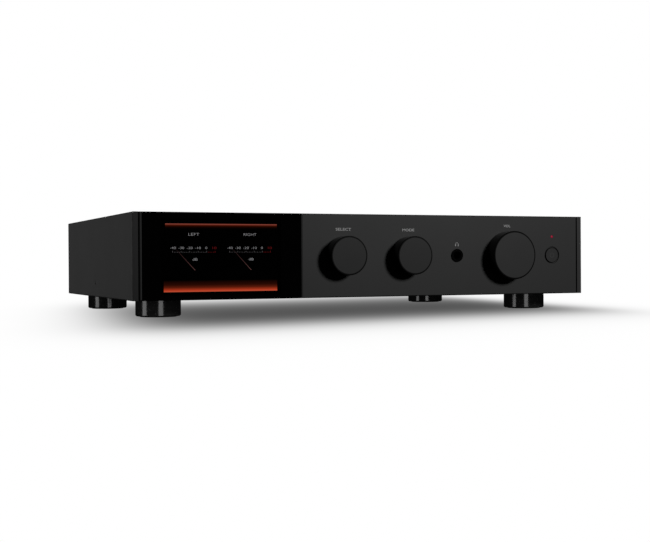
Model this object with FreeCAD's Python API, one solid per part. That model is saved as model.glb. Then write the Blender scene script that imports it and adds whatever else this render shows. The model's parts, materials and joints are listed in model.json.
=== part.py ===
"""Integrated amplifier: full-width, with a meter display, three knobs and a full rear panel.

Millimetres. +X is to the right of someone facing the fascia, +Y points to the rear panel, +Z is up.
The origin is under the middle of the whole object, at the height of the surface it stands on.
"""
import FreeCAD, Part
import math
import os

# Overall size
WIDTH = 444.0
DEPTH = 330.0
HEIGHT = 89.8
FOOT_HEIGHT = 15.4
KNOB_DEPTH = 14.0
CASE_DEPTH = 297.5

# Planes of the case
FRONT = KNOB_DEPTH - DEPTH / 2
BACK = FRONT + CASE_DEPTH
LEFT = -WIDTH / 2
RIGHT = WIDTH / 2
BASE = FOOT_HEIGHT
TOP = HEIGHT

# Case plates
FASCIA_T = 8.0
FASCIA_HALF = 216.2
FASCIA_CHAMFER = 0.8
SIDE_INNER = 216.9
SIDE_ROUND = 1.0
COVER_T = 3.0
SHEET_T = 1.5
FLANGE_HEIGHT = 20.0
COVER_LIP = 9.0
PAN_LIP = 7.5
LIP_INSET = 3.0
FASCIA_BACK = FRONT + FASCIA_T
FRAME_BACK = FASCIA_BACK + SHEET_T
PANEL_FRONT = BACK - SHEET_T
PAN_TOP = BASE + SHEET_T
COVER_UNDER = TOP - COVER_T

# Vent slots of the cover and the base pan: first slot, pitch and count, per group
SLOT_WIDTH = 3.0
SLOT_PITCH = 8.0
COVER_SLOTS = ((-188.0, 15, -96.0, 72.0), (28.0, 21, -110.0, 120.0))
PAN_SLOTS = ((24.0, 20, -90.0, 90.0),)

# Controls: distance from the middle, and height
CONTROL_Z = BASE + 37.1
SELECT_X = -31.8
MODE_X = 33.2
JACK_X = 83.5
VOLUME_X = 137.8
BUTTON_X = 187.8
LED_Z = BASE + 54.9
SMALL_KNOB_R = 17.4
VOLUME_KNOB_R = 22.6
KNOB_GAP = 1.0
KNOB_CHAMFER = 0.45
KNOB_HOLLOW_DEPTH = 7.0
KNOB_WALL = 2.4
HUB_R = 5.5
PUSH_TRAVEL = 0.6

# Encoders, behind the fascia
SHAFT_R = 3.0
RUNNING = 0.05
FLAT_OFFSET = 2.5
BUSH_R = 3.5
NUT_R = 5.5
NUT_T = 2.0
NUT_POCKET_R = 7.0
ENCODER_SIDE = 13.0
ENCODER_FRONT = FRONT + 15.0
ROTOR_FRONT = FRONT + 16.1
ROTOR_LENGTH = 3.8
ROTOR_R = 4.8
SHAFT_END = FRONT + 20.4
BOARD_FRONT = FRONT + 22.0
BOARD_T = 1.6

# Standby button, its guide, its lamp and its switch
BUTTON_R = 7.15
BUTTON_PROUD = 0.3
BUTTON_LENGTH = 7.3
STEM_R = 2.5
STEM_END = FRONT + 18.4
GUIDE_INNER_R = 7.35
GUIDE_R = 8.3
GUIDE_RECESS = 0.9
GUIDE_FLANGE_R = 11.0
GUIDE_FLANGE_T = 2.0
LED_R = 1.4
SWITCH_SIDE = 6.2

# Headphone socket for a 6.35 mm plug
JACK_R = 6.0
JACK_PROUD = 1.0
JACK_BORE_R = 3.25
JACK_MOUTH_R = 4.0
JACK_BORE_END = FRONT + 31.0
JACK_BODY_BACK = FRONT + 34.0
JACK_BODY_HALF = 8.2

# Display window and the display behind it
WINDOW_LEFT = -213.8
WINDOW_RIGHT = -71.8
WINDOW_T = 3.0
WINDOW_SINK = 0.2
DISPLAY_BOX = (-200.0, -89.0, BASE + 2.0, BASE + 70.5)
DISPLAY_T = 3.4

# Feet
FOOT_R = 19.85
FOOT_X = 187.6
FOOT_Y = (FRONT + 50.0, FRONT + 262.8)
FOOT_CHAMFER = 1.0
PAD_R = 16.0
PAD_T = 2.4
PAD_PROUD = 0.6

# Screws: radius of the shank and of the head
M4 = (1.9, 3.8)
M3 = (1.4, 2.7)
M25 = (1.2, 2.15)
SIDE_SCREW_Y = FRONT + 152.9
SIDE_SCREW_Z = BASE + 12.7
REAR_SCREW_X = (-206.0, -64.0, 122.0, 209.0)
REAR_SCREW_LOW = BASE + 5.0
REAR_SCREW_HIGH = COVER_UNDER - 4.5

# Mains transformer
TRANSFORMER = (-132.0, -44.0)
TRANSFORMER_R = 62.0
TRANSFORMER_HOLE_R = 18.0
TRANSFORMER_H = 54.0
TRANSFORMER_ROUND = 10.0
INSULATOR_T = 2.5
DISH_R = 34.0
DISH_T = 2.0
BOLT_R = 4.0

# Circuit boards stand on pillars pressed into the base pan
PILLAR_R = 3.0
PILLAR_H = 10.0
BOARD_Z = PAN_TOP + PILLAR_H
PARTS_Z = BOARD_Z + BOARD_T
POWER_BOARD = (-58.0, 206.0, -114.0, 40.0)
INPUT_BOARD = (-66.0, 122.0, 58.0, 140.0)
DIGITAL_BOARD = (127.0, 212.0, 58.0, 140.0)
UPPER_BOARD = (147.0, 212.0, 84.0, 140.0)
UPPER_BOARD_Z = 54.0
PILLAR_INSET = 6.0

# Heatsinks: a web with fins, and the transistors clamped to it
SINK_WEB_T = 6.0
SINK_Y = (-108.0, 34.0)
SINK_TOP = 80.0
FIN_LENGTH = 34.0
FIN_T = 2.0
FIN_COUNT = 15
SINK_WEB_X = (64.0, 150.0)
TRANSISTOR = (5.0, 15.6, 20.0)
TRANSISTOR_COUNT = 4

# Rear panel: places of the connectors
RCA_X = (14.0, 32.0, 50.0, 68.0, 86.0, 104.0, 136.0)
RCA_Z = (48.0, 66.0)
RCA_BARREL_R = 4.15
RCA_BARREL_INNER_R = 3.6
RCA_BARREL_LENGTH = 9.0
RCA_COLLAR_R = 5.4
RCA_COLLAR_T = 1.2
RCA_HOLE_R = 1.6
XLR_X = (-46.0, -14.0)
XLR_Z = 52.0
XLR_BODY_R = 11.8
XLR_PLUG_R = 9.7
XLR_INSERT_R = 7.4
XLR_DEPTH = 14.0
XLR_FLANGE = (13.0, 15.5, 2.0)
XLR_PINS = ((-3.6, 1.8), (3.6, 1.8), (0.0, -3.8))
LATCH_HALF = 3.5
LATCH_Z = (XLR_Z + 10.2, XLR_Z + 13.4)
OPTICAL_X = (154.0, 170.0)
OPTICAL_Z = 36.0
SHUTTER_HALF = 3.55
SHUTTER_T = 0.9
SHUTTER_PIN_Z = OPTICAL_Z + 3.4
SHUTTER_PIN_Y = BACK - 0.2
USB_PLACE = (191.0, 35.0)
HDMI_PLACE = (164.0, 59.2)
TRIGGER_X = (184.0, 198.0)
TRIGGER_Z = 60.6
ANTENNA_PLACE = (206.0, 72.5)
POST_X = (-152.0, -130.0, -108.0, -86.0)
POST_Z = 44.0
POST_CAP_R = 7.4
POST_STUD_R = 3.0
POST_BORE_R = 2.0
POST_STUD_END = BACK + 12.0
POST_CAP_FRONT = BACK + 4.0
POST_BASE_T = 2.5
GROUND_PLACE = (3.0, 30.0)
GROUND_STUD_R = 2.0
GROUND_NUT_R = 4.6
GROUND_NUT_LENGTH = 9.0

# Mains inlet with its fuse drawer, and the mains switch above it
INLET_X = -190.0
INLET_Z = 44.0
INLET_FLANGE_T = 3.0
INLET_HALF = 13.6
INLET_LOW = 25.5
INLET_HIGH = 56.5
INLET_BACK = BACK - 27.0
SOCKET_HALF = 12.0
SOCKET_DEPTH = 17.0
SOCKET_CORNER = 4.5
DRAWER_Z = 30.0
DRAWER_HALF = (7.6, 3.2)
DRAWER_LENGTH = 24.0
FUSE_R = 2.5
ROCKER_Z = 69.5
ROCKER_HALF = (8.2, 5.5)
ROCKER_TILT = 8.0
ROCKER_AXIS_Y = BACK - 1.0
ROCKER_PIN_R = 1.2
SWITCH_HALF = (10.6, 7.6)


# ---------------------------------------------------------------- shape helpers

def block(x0, x1, y0, y1, z0, z1):
    """A box between two corners."""
    return Part.makeBox(x1 - x0, y1 - y0, z1 - z0, FreeCAD.Vector(x0, y0, z0))


def block_at(x, z, half_x, half_z, y0, y1):
    """A box around a point of a vertical panel."""
    return block(x - half_x, x + half_x, y0, y1, z - half_z, z + half_z)


def rod_x(y, z, radius, x0, x1):
    return Part.makeCylinder(radius, x1 - x0, FreeCAD.Vector(x0, y, z), FreeCAD.Vector(1, 0, 0))


def rod_y(x, z, radius, y0, y1):
    return Part.makeCylinder(radius, y1 - y0, FreeCAD.Vector(x, y0, z), FreeCAD.Vector(0, 1, 0))


def rod_z(x, y, radius, z0, z1):
    return Part.makeCylinder(radius, z1 - z0, FreeCAD.Vector(x, y, z0))


def cone_y(x, z, radius0, radius1, y0, y1):
    return Part.makeCone(radius0, radius1, y1 - y0, FreeCAD.Vector(x, y0, z), FreeCAD.Vector(0, 1, 0))


def ring_y(x, z, inner, outer, y0, y1):
    return rod_y(x, z, outer, y0, y1).cut(rod_y(x, z, inner, y0 - 1, y1 + 1))


def ring_z(x, y, inner, outer, z0, z1):
    return rod_z(x, y, outer, z0, z1).cut(rod_z(x, y, inner, z0 - 1, z1 + 1))


def prism_y(points, y0, y1):
    """A polygon of (x, z) points, carried from y0 to y1."""
    corners = [FreeCAD.Vector(x, y0, z) for x, z in points]
    face = Part.Face(Part.makePolygon(corners + corners[:1]))
    return face.extrude(FreeCAD.Vector(0, y1 - y0, 0))


def prism_z(points, z0, z1):
    """A polygon of (x, y) points, carried from z0 to z1."""
    corners = [FreeCAD.Vector(x, y, z0) for x, y in points]
    face = Part.Face(Part.makePolygon(corners + corners[:1]))
    return face.extrude(FreeCAD.Vector(0, 0, z1 - z0))


def hexagon_y(x, z, radius, y0, y1):
    """A hexagonal bar along Y, such as a nut."""
    angles = [math.radians(60 * step) for step in range(6)]
    return prism_y([(x + radius * math.cos(a), z + radius * math.sin(a)) for a in angles], y0, y1)


def slot_z(x, y0, y1, width, z0, z1):
    """A slot with round ends, along Y, as a cutter."""
    radius = width / 2
    middle = block(x - radius, x + radius, y0 + radius, y1 - radius, z0, z1)
    ends = [rod_z(x, y0 + radius, radius, z0, z1), rod_z(x, y1 - radius, radius, z0, z1)]
    return middle.multiFuse(ends)


def cut_all(shape, cutters):
    return shape.cut(Part.makeCompound(cutters)) if cutters else shape


def edges_where(shape, test):
    """The straight edges whose two ends both pass a test."""
    return [edge for edge in shape.Edges if len(edge.Vertexes) == 2
            and all(test(vertex.Point) for vertex in edge.Vertexes)]


def mirrored(shape):
    """The same piece on the other side of the middle plane."""
    return shape.mirror(FreeCAD.Vector(0, 0, 0), FreeCAD.Vector(1, 0, 0))


def wire_tube(points, radius):
    """A round wire along straight runs joined by tangent arcs, each 0.45 of the shorter run beside it."""
    spots = [FreeCAD.Vector(*point) for point in points]
    edges = []
    start = spots[0]
    for before, corner, after in zip(spots, spots[1:], spots[2:]):
        to_corner = (corner - before).normalize()
        from_corner = (after - corner).normalize()
        reach = 0.45 * min((corner - before).Length, (after - corner).Length)
        entry = corner - to_corner * reach
        leave = corner + from_corner * reach
        turn = to_corner.getAngle(from_corner)
        bend = reach / math.tan(turn / 2)
        inward = (from_corner - to_corner).normalize()
        centre = corner + inward * math.hypot(reach, bend)
        middle = centre - inward * bend
        edges.append(Part.LineSegment(start, entry).toShape())
        edges.append(Part.Arc(entry, middle, leave).toShape())
        start = leave
    edges.append(Part.LineSegment(start, spots[-1]).toShape())
    path = Part.Wire(edges)
    heading = spots[1] - spots[0]
    section = Part.Wire([Part.makeCircle(radius, spots[0], heading)])
    return path.makePipeShell([section], True, True)


def save(name, shapes):
    """Write one sub-part, made of one or more separate solids."""
    pieces = shapes if isinstance(shapes, list) else [shapes]
    solids = [solid for piece in pieces for solid in piece.Solids]
    for solid in solids:
        if not solid.isValid() or solid.Volume <= 0:
            raise ValueError("bad solid in " + name)
    shape = solids[0] if len(solids) == 1 else Part.makeCompound(solids)
    shape.exportStep("parts/" + name + ".step")
    print(name, len(solids), round(sum(solid.Volume for solid in solids) / 1000, 2))


# ---------------------------------------------------------------- case

def make_fascia():
    """The front plate: a recess for the window, a pocket for the display, and holes for the controls."""
    plate = block(-FASCIA_HALF, FASCIA_HALF, FRONT, FASCIA_BACK, BASE, TOP)
    front_edges = edges_where(plate, lambda p: abs(p.y - FRONT) < 1e-6)
    plate = plate.makeChamfer(FASCIA_CHAMFER, front_edges)
    seat = FRONT + WINDOW_T + WINDOW_SINK
    recess = block(WINDOW_LEFT - 0.1, WINDOW_RIGHT + 0.1, FRONT - 1, seat, BASE - 1, TOP + 1)
    left, right, low, high = DISPLAY_BOX
    pocket = block(left, right, FRONT, seat + DISPLAY_T + 0.2, low, high)
    cutters = [recess, pocket]
    for x in (SELECT_X, MODE_X, VOLUME_X):
        cutters.append(rod_y(x, CONTROL_Z, SHAFT_R + 0.6, FRONT - 1, FASCIA_BACK + 1))
        cutters.append(rod_y(x, CONTROL_Z, NUT_POCKET_R, FASCIA_BACK - NUT_T - 0.6, FASCIA_BACK + 1))
    cutters.append(rod_y(JACK_X, CONTROL_Z, JACK_R + 0.1, FRONT - 1, FASCIA_BACK + 1))
    cutters.append(rod_y(BUTTON_X, CONTROL_Z, GUIDE_R + 0.05, FRONT - 1, FASCIA_BACK + 1))
    flange_front = FASCIA_BACK - GUIDE_FLANGE_T - 0.1
    cutters.append(rod_y(BUTTON_X, CONTROL_Z, GUIDE_FLANGE_R + 0.2, flange_front, FASCIA_BACK + 1))
    cutters.append(rod_y(BUTTON_X, LED_Z, LED_R + 0.1, FRONT - 1, FASCIA_BACK + 1))
    save("fascia", cut_all(plate, cutters))


def make_side_panels():
    """Two thick side plates, whose front ends show beside the fascia."""
    plate = block(SIDE_INNER, RIGHT, FRONT, BACK, BASE, TOP)
    outer = edges_where(plate, lambda p: abs(p.x - RIGHT) < 1e-6)
    plate = plate.makeFillet(SIDE_ROUND, outer)
    shank, head = M25
    plate = plate.cut(rod_x(SIDE_SCREW_Y, SIDE_SCREW_Z, shank + 0.15, SIDE_INNER - 1, RIGHT + 1))
    plate = plate.cut(rod_x(SIDE_SCREW_Y, SIDE_SCREW_Z, head + 0.15, RIGHT - 1.7, RIGHT + 1))
    save("side_panel_right", plate)
    save("side_panel_left", mirrored(plate))


def slots(groups, z0, z1):
    cutters = []
    for first_x, count, y0, y1 in groups:
        cutters += [slot_z(first_x + SLOT_PITCH * n, y0, y1, SLOT_WIDTH, z0, z1) for n in range(count)]
    return cutters


def rear_lip(z0, z1):
    """A sheet lip just inside the rear panel, which the rear screws pass through."""
    end = SIDE_INNER - LIP_INSET
    return block(-end, end, PANEL_FRONT - SHEET_T, PANEL_FRONT, z0, z1)


def make_top_cover():
    """The lid between the side plates, with vent slots and a lip behind for the rear screws."""
    lid = block(-SIDE_INNER, SIDE_INNER, FASCIA_BACK, BACK, COVER_UNDER, TOP)
    lid = cut_all(lid, slots(COVER_SLOTS, COVER_UNDER - 1, TOP + 1))
    lip = rear_lip(COVER_UNDER - COVER_LIP, COVER_UNDER)
    holes = [rod_y(x, REAR_SCREW_HIGH, M3[0] + 0.1, PANEL_FRONT - SHEET_T - 1, BACK) for x in REAR_SCREW_X]
    save("top_cover", cut_all(lid.fuse(lip), holes))


def pillar_places(board):
    """Pillar centres, one inside each corner of a board."""
    x0, x1, y0, y1 = board
    inset = PILLAR_INSET
    return [(x, y) for x in (x0 + inset, x1 - inset) for y in (y0 + inset, y1 - inset)]


def foot_places():
    return [(side * FOOT_X, y) for side in (-1, 1) for y in FOOT_Y]


def make_base_pan():
    """A tray with bent-up flanges and pressed-in pillars for the boards."""
    pan = block(-SIDE_INNER, SIDE_INNER, FRAME_BACK, PANEL_FRONT, BASE, PAN_TOP)
    flange_x = SIDE_INNER - SHEET_T
    right = block(flange_x, SIDE_INNER, FRAME_BACK, PANEL_FRONT, PAN_TOP, BASE + FLANGE_HEIGHT)
    rear = rear_lip(PAN_TOP, PAN_TOP + PAN_LIP)
    boards = (POWER_BOARD, INPUT_BOARD, DIGITAL_BOARD)
    pillars = [rod_z(x, y, PILLAR_R, PAN_TOP, BOARD_Z) for board in boards for x, y in pillar_places(board)]
    pan = pan.multiFuse([right, mirrored(right), rear] + pillars)
    cutters = slots(PAN_SLOTS, BASE - 1, PAN_TOP + 1)
    cutters += [rod_z(x, y, M4[0] + 0.15, BASE - 1, PAN_TOP + 1) for x, y in foot_places()]
    cutters.append(rod_z(TRANSFORMER[0], TRANSFORMER[1], BOLT_R + 0.1, BASE - 1, PAN_TOP + 1))
    cutters.append(rod_x(SIDE_SCREW_Y, SIDE_SCREW_Z, M25[0] + 0.1, -SIDE_INNER - 1, SIDE_INNER + 1))
    start = PANEL_FRONT - SHEET_T - 1
    cutters += [rod_y(x, REAR_SCREW_LOW, M3[0] + 0.1, start, BACK) for x in REAR_SCREW_X]
    save("base_pan", cut_all(pan, cutters))


def make_front_subframe():
    """The steel plate behind the fascia that carries the controls."""
    plate = block(-SIDE_INNER, SIDE_INNER, FASCIA_BACK, FRAME_BACK, BASE, COVER_UNDER)
    holes = [rod_y(x, CONTROL_Z, BUSH_R + 0.1, FRONT, FRAME_BACK + 1) for x in (SELECT_X, MODE_X, VOLUME_X)]
    holes.append(rod_y(JACK_X, CONTROL_Z, JACK_R + 0.1, FRONT, FRAME_BACK + 1))
    holes.append(rod_y(BUTTON_X, CONTROL_Z, STEM_R + 0.3, FRONT, FRAME_BACK + 1))
    holes.append(rod_y(BUTTON_X, LED_Z, LED_R + 0.1, FRONT, FRAME_BACK + 1))
    save("front_subframe", cut_all(plate, holes))


def rear_screw_places():
    return [(x, z) for x in REAR_SCREW_X for z in (REAR_SCREW_LOW, REAR_SCREW_HIGH)]


def make_rear_panel():
    """The steel rear plate, cut out for every connector."""
    plate = block(-SIDE_INNER, SIDE_INNER, PANEL_FRONT, BACK, BASE, COVER_UNDER)
    low, high = PANEL_FRONT - 1, BACK + 1
    cuts = [rod_y(x, z, M3[0] + 0.15, low, high) for x, z in rear_screw_places()]
    cuts += [rod_y(x, z, RCA_BARREL_R + 0.35, low, high) for x in RCA_X for z in RCA_Z]
    cuts += [rod_y(x, XLR_Z, XLR_BODY_R + 0.2, low, high) for x in XLR_X]
    latch = LATCH_HALF + 0.4
    cuts += [block(x - latch, x + latch, low, high, XLR_Z, LATCH_Z[1] + 0.4) for x in XLR_X]
    cuts += [block_at(x, OPTICAL_Z, 5.1, 5.2, low, high) for x in OPTICAL_X]
    cuts += [block_at(*USB_PLACE, 6.3, 5.8, low, high), block_at(*HDMI_PLACE, 7.9, 3.5, low, high)]
    cuts += [rod_y(x, TRIGGER_Z, 3.6, low, high) for x in TRIGGER_X]
    cuts += [rod_y(*ANTENNA_PLACE, 3.3, low, high), rod_y(*GROUND_PLACE, GROUND_STUD_R + 0.2, low, high)]
    cuts += [rod_y(x, POST_Z, 5.1, low, high) for x in POST_X]
    inlet = INLET_HALF + 0.2
    cuts.append(block(INLET_X - inlet, INLET_X + inlet, low, high, INLET_LOW - 0.2, INLET_HIGH + 0.2))
    cuts.append(block_at(INLET_X, ROCKER_Z, SWITCH_HALF[0] + 0.2, SWITCH_HALF[1] + 0.2, low, high))
    save("rear_panel", cut_all(plate, cuts))


def make_feet():
    """Four turned feet, each with a recess below for its pad and a bore for its screw."""
    feet = []
    pads = []
    for x, y in foot_places():
        body = rod_z(x, y, FOOT_R, PAD_PROUD, BASE)
        rim = [edge for edge in body.Edges if edge.Closed and edge.CenterOfMass.z < PAD_PROUD + 0.1]
        body = body.makeChamfer(FOOT_CHAMFER, rim)
        recess = rod_z(x, y, PAD_R + 0.2, 0, PAD_T)
        counterbore = rod_z(x, y, M4[1] + 0.4, 0, BASE - 6.0)
        bore = rod_z(x, y, M4[0] + 0.15, 0, BASE + 1)
        feet.append(cut_all(body, [recess]).cut(counterbore).cut(bore))
        pads.append(rod_z(x, y, PAD_R, 0, PAD_T))
    save("feet", feet)
    save("foot_pads", pads)


def screw_z(x, y, size, seat, tip):
    """A pan-head screw pointing up, with a hexagon socket in its head."""
    shank, head = size
    body = rod_z(x, y, head, seat - 3.0, seat).fuse(rod_z(x, y, shank, seat, tip))
    return body.cut(rod_z(x, y, head * 0.45, seat - 4.0, seat - 1.2))


def make_case_screws():
    """Foot screws, side screws and rear panel screws."""
    screws = [screw_z(x, y, M4, BASE - 6.0, PAN_TOP + 4.0) for x, y in foot_places()]
    shank, head = M25
    right = rod_x(SIDE_SCREW_Y, SIDE_SCREW_Z, head, RIGHT - 1.6, RIGHT - 0.1)
    right = right.fuse(rod_x(SIDE_SCREW_Y, SIDE_SCREW_Z, shank, RIGHT - 12.0, RIGHT - 1.6))
    right = right.cut(rod_x(SIDE_SCREW_Y, SIDE_SCREW_Z, 0.9, RIGHT - 1.2, RIGHT + 1))
    screws += [right, mirrored(right)]
    for x, z in rear_screw_places():
        body = rod_y(x, z, M3[1], BACK, BACK + 1.6).fuse(rod_y(x, z, M3[0], PANEL_FRONT - 4.0, BACK))
        screws.append(body.cut(hexagon_y(x, z, 1.2, BACK + 0.5, BACK + 2)))
    save("case_screws", screws)


# ---------------------------------------------------------------- front controls

def shaft_with_flat(x, radius, flat):
    """A control shaft, round through the bush and flat on one side in the rotor."""
    shaft = rod_y(x, CONTROL_Z, radius, FRONT - KNOB_HOLLOW_DEPTH + 3.0, SHAFT_END)
    start = ROTOR_FRONT - 2 * PUSH_TRAVEL
    cutter = block(x - 5, x + 5, start, SHAFT_END + 1, CONTROL_Z + flat, CONTROL_Z + 5)
    return shaft.cut(cutter)


def knob_solids(x, radius):
    """A hollow turned knob with a hub, and the shaft pressed into the hub."""
    front = FRONT - KNOB_DEPTH
    back = FRONT - KNOB_GAP
    body = rod_y(x, CONTROL_Z, radius, front, back)
    rims = [edge for edge in body.Edges if edge.Closed and abs(edge.CenterOfMass.y - front) < 0.1]
    body = body.makeChamfer(KNOB_CHAMFER, rims)
    hollow = ring_y(x, CONTROL_Z, HUB_R, radius - KNOB_WALL, back - KNOB_HOLLOW_DEPTH, back + 1)
    shaft = shaft_with_flat(x, SHAFT_R, FLAT_OFFSET)
    socket = rod_y(x, CONTROL_Z, SHAFT_R, shaft.BoundBox.YMin, back + 1)
    return [body.cut(hollow).cut(socket), shaft]


def rotor(x):
    """The turning collar in a push encoder; the flat of the shaft slides through it."""
    collar = rod_y(x, CONTROL_Z, ROTOR_R, ROTOR_FRONT, ROTOR_FRONT + ROTOR_LENGTH)
    bore = rod_y(x, CONTROL_Z, SHAFT_R + RUNNING, ROTOR_FRONT - 1, ROTOR_FRONT + ROTOR_LENGTH + 1)
    flat_z = CONTROL_Z + FLAT_OFFSET + RUNNING
    keep = block(x - 5, x + 5, ROTOR_FRONT - 2, ROTOR_FRONT + 8, flat_z, flat_z + 5)
    return collar.cut(bore.cut(keep))


def encoder_solids(x):
    """An encoder case with its threaded bush, and the nut that clamps it to the subframe."""
    half = ENCODER_SIDE / 2
    case = block_at(x, CONTROL_Z, half, half, ENCODER_FRONT, BOARD_FRONT)
    case = case.fuse(rod_y(x, CONTROL_Z, BUSH_R, FASCIA_BACK - NUT_T - 0.2, ENCODER_FRONT))
    cavity = rod_y(x, CONTROL_Z, ROTOR_R + 0.1, ROTOR_FRONT - 0.1, ROTOR_FRONT + ROTOR_LENGTH + 0.1)
    bore = rod_y(x, CONTROL_Z, SHAFT_R + RUNNING, FRONT, SHAFT_END + PUSH_TRAVEL + 0.2)
    nut = hexagon_y(x, CONTROL_Z, NUT_R, FASCIA_BACK - NUT_T, FASCIA_BACK)
    nut = nut.cut(rod_y(x, CONTROL_Z, BUSH_R, FRONT, FASCIA_BACK + 1))
    return [case.cut(cavity).cut(bore), nut]


def make_controls():
    save("select_knob", knob_solids(SELECT_X, SMALL_KNOB_R))
    save("mode_knob", knob_solids(MODE_X, SMALL_KNOB_R))
    save("volume_knob", knob_solids(VOLUME_X, VOLUME_KNOB_R) + [rotor(VOLUME_X)])
    save("select_rotor", rotor(SELECT_X))
    save("mode_rotor", rotor(MODE_X))
    cases = encoder_solids(SELECT_X) + encoder_solids(MODE_X) + encoder_solids(VOLUME_X)
    half = SWITCH_SIDE / 2
    tact = block_at(BUTTON_X, CONTROL_Z, half, half, BOARD_FRONT - 2.4, BOARD_FRONT)
    tact = tact.fuse(rod_y(BUTTON_X, CONTROL_Z, 1.7, STEM_END + 1.0, BOARD_FRONT - 2.4))
    save("encoders_and_switch", cases + [tact])


def make_standby():
    """The round standby button with its stem, the sleeve it runs in, and the red lamp above it."""
    face = FRONT - BUTTON_PROUD
    cap = rod_y(BUTTON_X, CONTROL_Z, BUTTON_R, face, face + BUTTON_LENGTH)
    rims = [edge for edge in cap.Edges if edge.Closed and abs(edge.CenterOfMass.y - face) < 0.1]
    cap = cap.makeChamfer(0.25, rims)
    save("standby_button", cap.fuse(rod_y(BUTTON_X, CONTROL_Z, STEM_R, face + BUTTON_LENGTH, STEM_END)))
    flange_y = FASCIA_BACK - GUIDE_FLANGE_T
    sleeve = rod_y(BUTTON_X, CONTROL_Z, GUIDE_R, FRONT + GUIDE_RECESS, flange_y)
    sleeve = sleeve.fuse(rod_y(BUTTON_X, CONTROL_Z, GUIDE_FLANGE_R, flange_y, FASCIA_BACK))
    save("button_guide", sleeve.cut(rod_y(BUTTON_X, CONTROL_Z, GUIDE_INNER_R, FRONT, FASCIA_BACK + 1)))
    pipe = rod_y(BUTTON_X, LED_Z, LED_R, FRONT - 0.3, BOARD_FRONT)
    tip = [edge for edge in pipe.Edges if edge.Closed and edge.CenterOfMass.y < FRONT]
    save("standby_led", pipe.makeFillet(0.5, tip))


def make_headphone_jack():
    """A 6.35 mm socket: a black threaded nose through the fascia and a case behind it."""
    nose = rod_y(JACK_X, CONTROL_Z, JACK_R, FRONT - JACK_PROUD, FRAME_BACK)
    case = block_at(JACK_X, CONTROL_Z, JACK_BODY_HALF, JACK_BODY_HALF, FRAME_BACK, JACK_BODY_BACK)
    bore = rod_y(JACK_X, CONTROL_Z, JACK_BORE_R, FRONT - 2, JACK_BORE_END)
    tip = FRONT - JACK_PROUD
    lead_in = JACK_MOUTH_R - JACK_BORE_R
    mouth = cone_y(JACK_X, CONTROL_Z, JACK_MOUTH_R, JACK_BORE_R, tip, tip + lead_in)
    save("headphone_jack", nose.fuse(case).cut(bore).cut(mouth))


def make_control_board():
    board = block(-60.0, 208.0, BOARD_FRONT, BOARD_FRONT + BOARD_T, BASE + 6.0, COVER_UNDER - 4.0)
    cutout = block_at(JACK_X, CONTROL_Z, JACK_BODY_HALF + 0.5, JACK_BODY_HALF + 0.5, FRONT, BACK)
    board_back = BOARD_FRONT + BOARD_T
    chip = block_at(0.0, CONTROL_Z, 12.0, 12.0, board_back, board_back + 2.0)
    save("control_board", [board.cut(cutout), chip])


def make_display():
    """The full-height glass window and the display module in the pocket behind it."""
    glass = block(WINDOW_LEFT, WINDOW_RIGHT, FRONT + WINDOW_SINK, FRONT + WINDOW_SINK + WINDOW_T, BASE, TOP)
    save("display_window", glass)
    left, right, low, high = DISPLAY_BOX
    start = FRONT + WINDOW_SINK + WINDOW_T
    save("display_module", block(left + 0.3, right - 0.3, start, start + DISPLAY_T, low + 0.3, high - 0.3))


# ---------------------------------------------------------------- inside

def make_transformer():
    """The ring-wound mains transformer, and the dished plate, pads, bolt and nut that hold it down."""
    x, y = TRANSFORMER
    low = PAN_TOP + INSULATOR_T
    high = low + TRANSFORMER_H
    ring = ring_z(x, y, TRANSFORMER_HOLE_R, TRANSFORMER_R, low, high)
    rims = [edge for edge in ring.Edges if edge.Closed and len(edge.Vertexes) == 1]
    save("toroidal_transformer", ring.makeFillet(TRANSFORMER_ROUND, rims))
    pad_r = TRANSFORMER_R - TRANSFORMER_ROUND
    under = ring_z(x, y, TRANSFORMER_HOLE_R, pad_r, PAN_TOP, low)
    over = ring_z(x, y, TRANSFORMER_HOLE_R + TRANSFORMER_ROUND, DISH_R, high, high + INSULATOR_T)
    dish_z = high + INSULATOR_T
    dish = ring_z(x, y, BOLT_R + 0.1, DISH_R, dish_z, dish_z + DISH_T)
    bolt = rod_z(x, y, BOLT_R, BASE, dish_z + DISH_T + 5.0)
    nut = ring_z(x, y, BOLT_R + 0.05, BOLT_R * 1.7, dish_z + DISH_T, dish_z + DISH_T + 4.0)
    save("transformer_clamp", [under, over, dish, bolt, nut])


def board_solid(board, z):
    x0, x1, y0, y1 = board
    return block(x0, x1, y0, y1, z, z + BOARD_T)


def capacitor(x, y, radius, height):
    can = rod_z(x, y, radius, PARTS_Z, PARTS_Z + height)
    top = [edge for edge in can.Edges if edge.Closed and abs(edge.CenterOfMass.z - PARTS_Z - height) < 0.1]
    return can.makeFillet(1.5, top)


def heatsink(web_x, side):
    """A vertical web with fins on one side; side is the direction in which the fins point."""
    y0, y1 = SINK_Y
    web = block(web_x, web_x + SINK_WEB_T, y0, y1, PARTS_Z, SINK_TOP)
    root = web_x if side < 0 else web_x + SINK_WEB_T
    tip = root + side * FIN_LENGTH
    step = (y1 - y0 - FIN_T) / (FIN_COUNT - 1)
    fins = []
    for n in range(FIN_COUNT):
        y = y0 + step * n
        fins.append(block(min(root, tip), max(root, tip), y, y + FIN_T, PARTS_Z + 3.0, SINK_TOP))
    return web.multiFuse(fins)


def transistor(face_x, side, y):
    """A flat power transistor against a heatsink web, with three legs down to the board."""
    thick, wide, tall = TRANSISTOR
    x0, x1 = sorted((face_x, face_x + side * thick))
    low = PARTS_Z + 12.0
    case = block(x0, x1, y - wide / 2, y + wide / 2, low, low + tall)
    middle = (x0 + x1) / 2
    legs = [block(middle - 0.3, middle + 0.3, y + offset - 0.6, y + offset + 0.6, PARTS_Z, low)
            for offset in (-5.4, 0.0, 5.4)]
    return case.multiFuse(legs)


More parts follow.
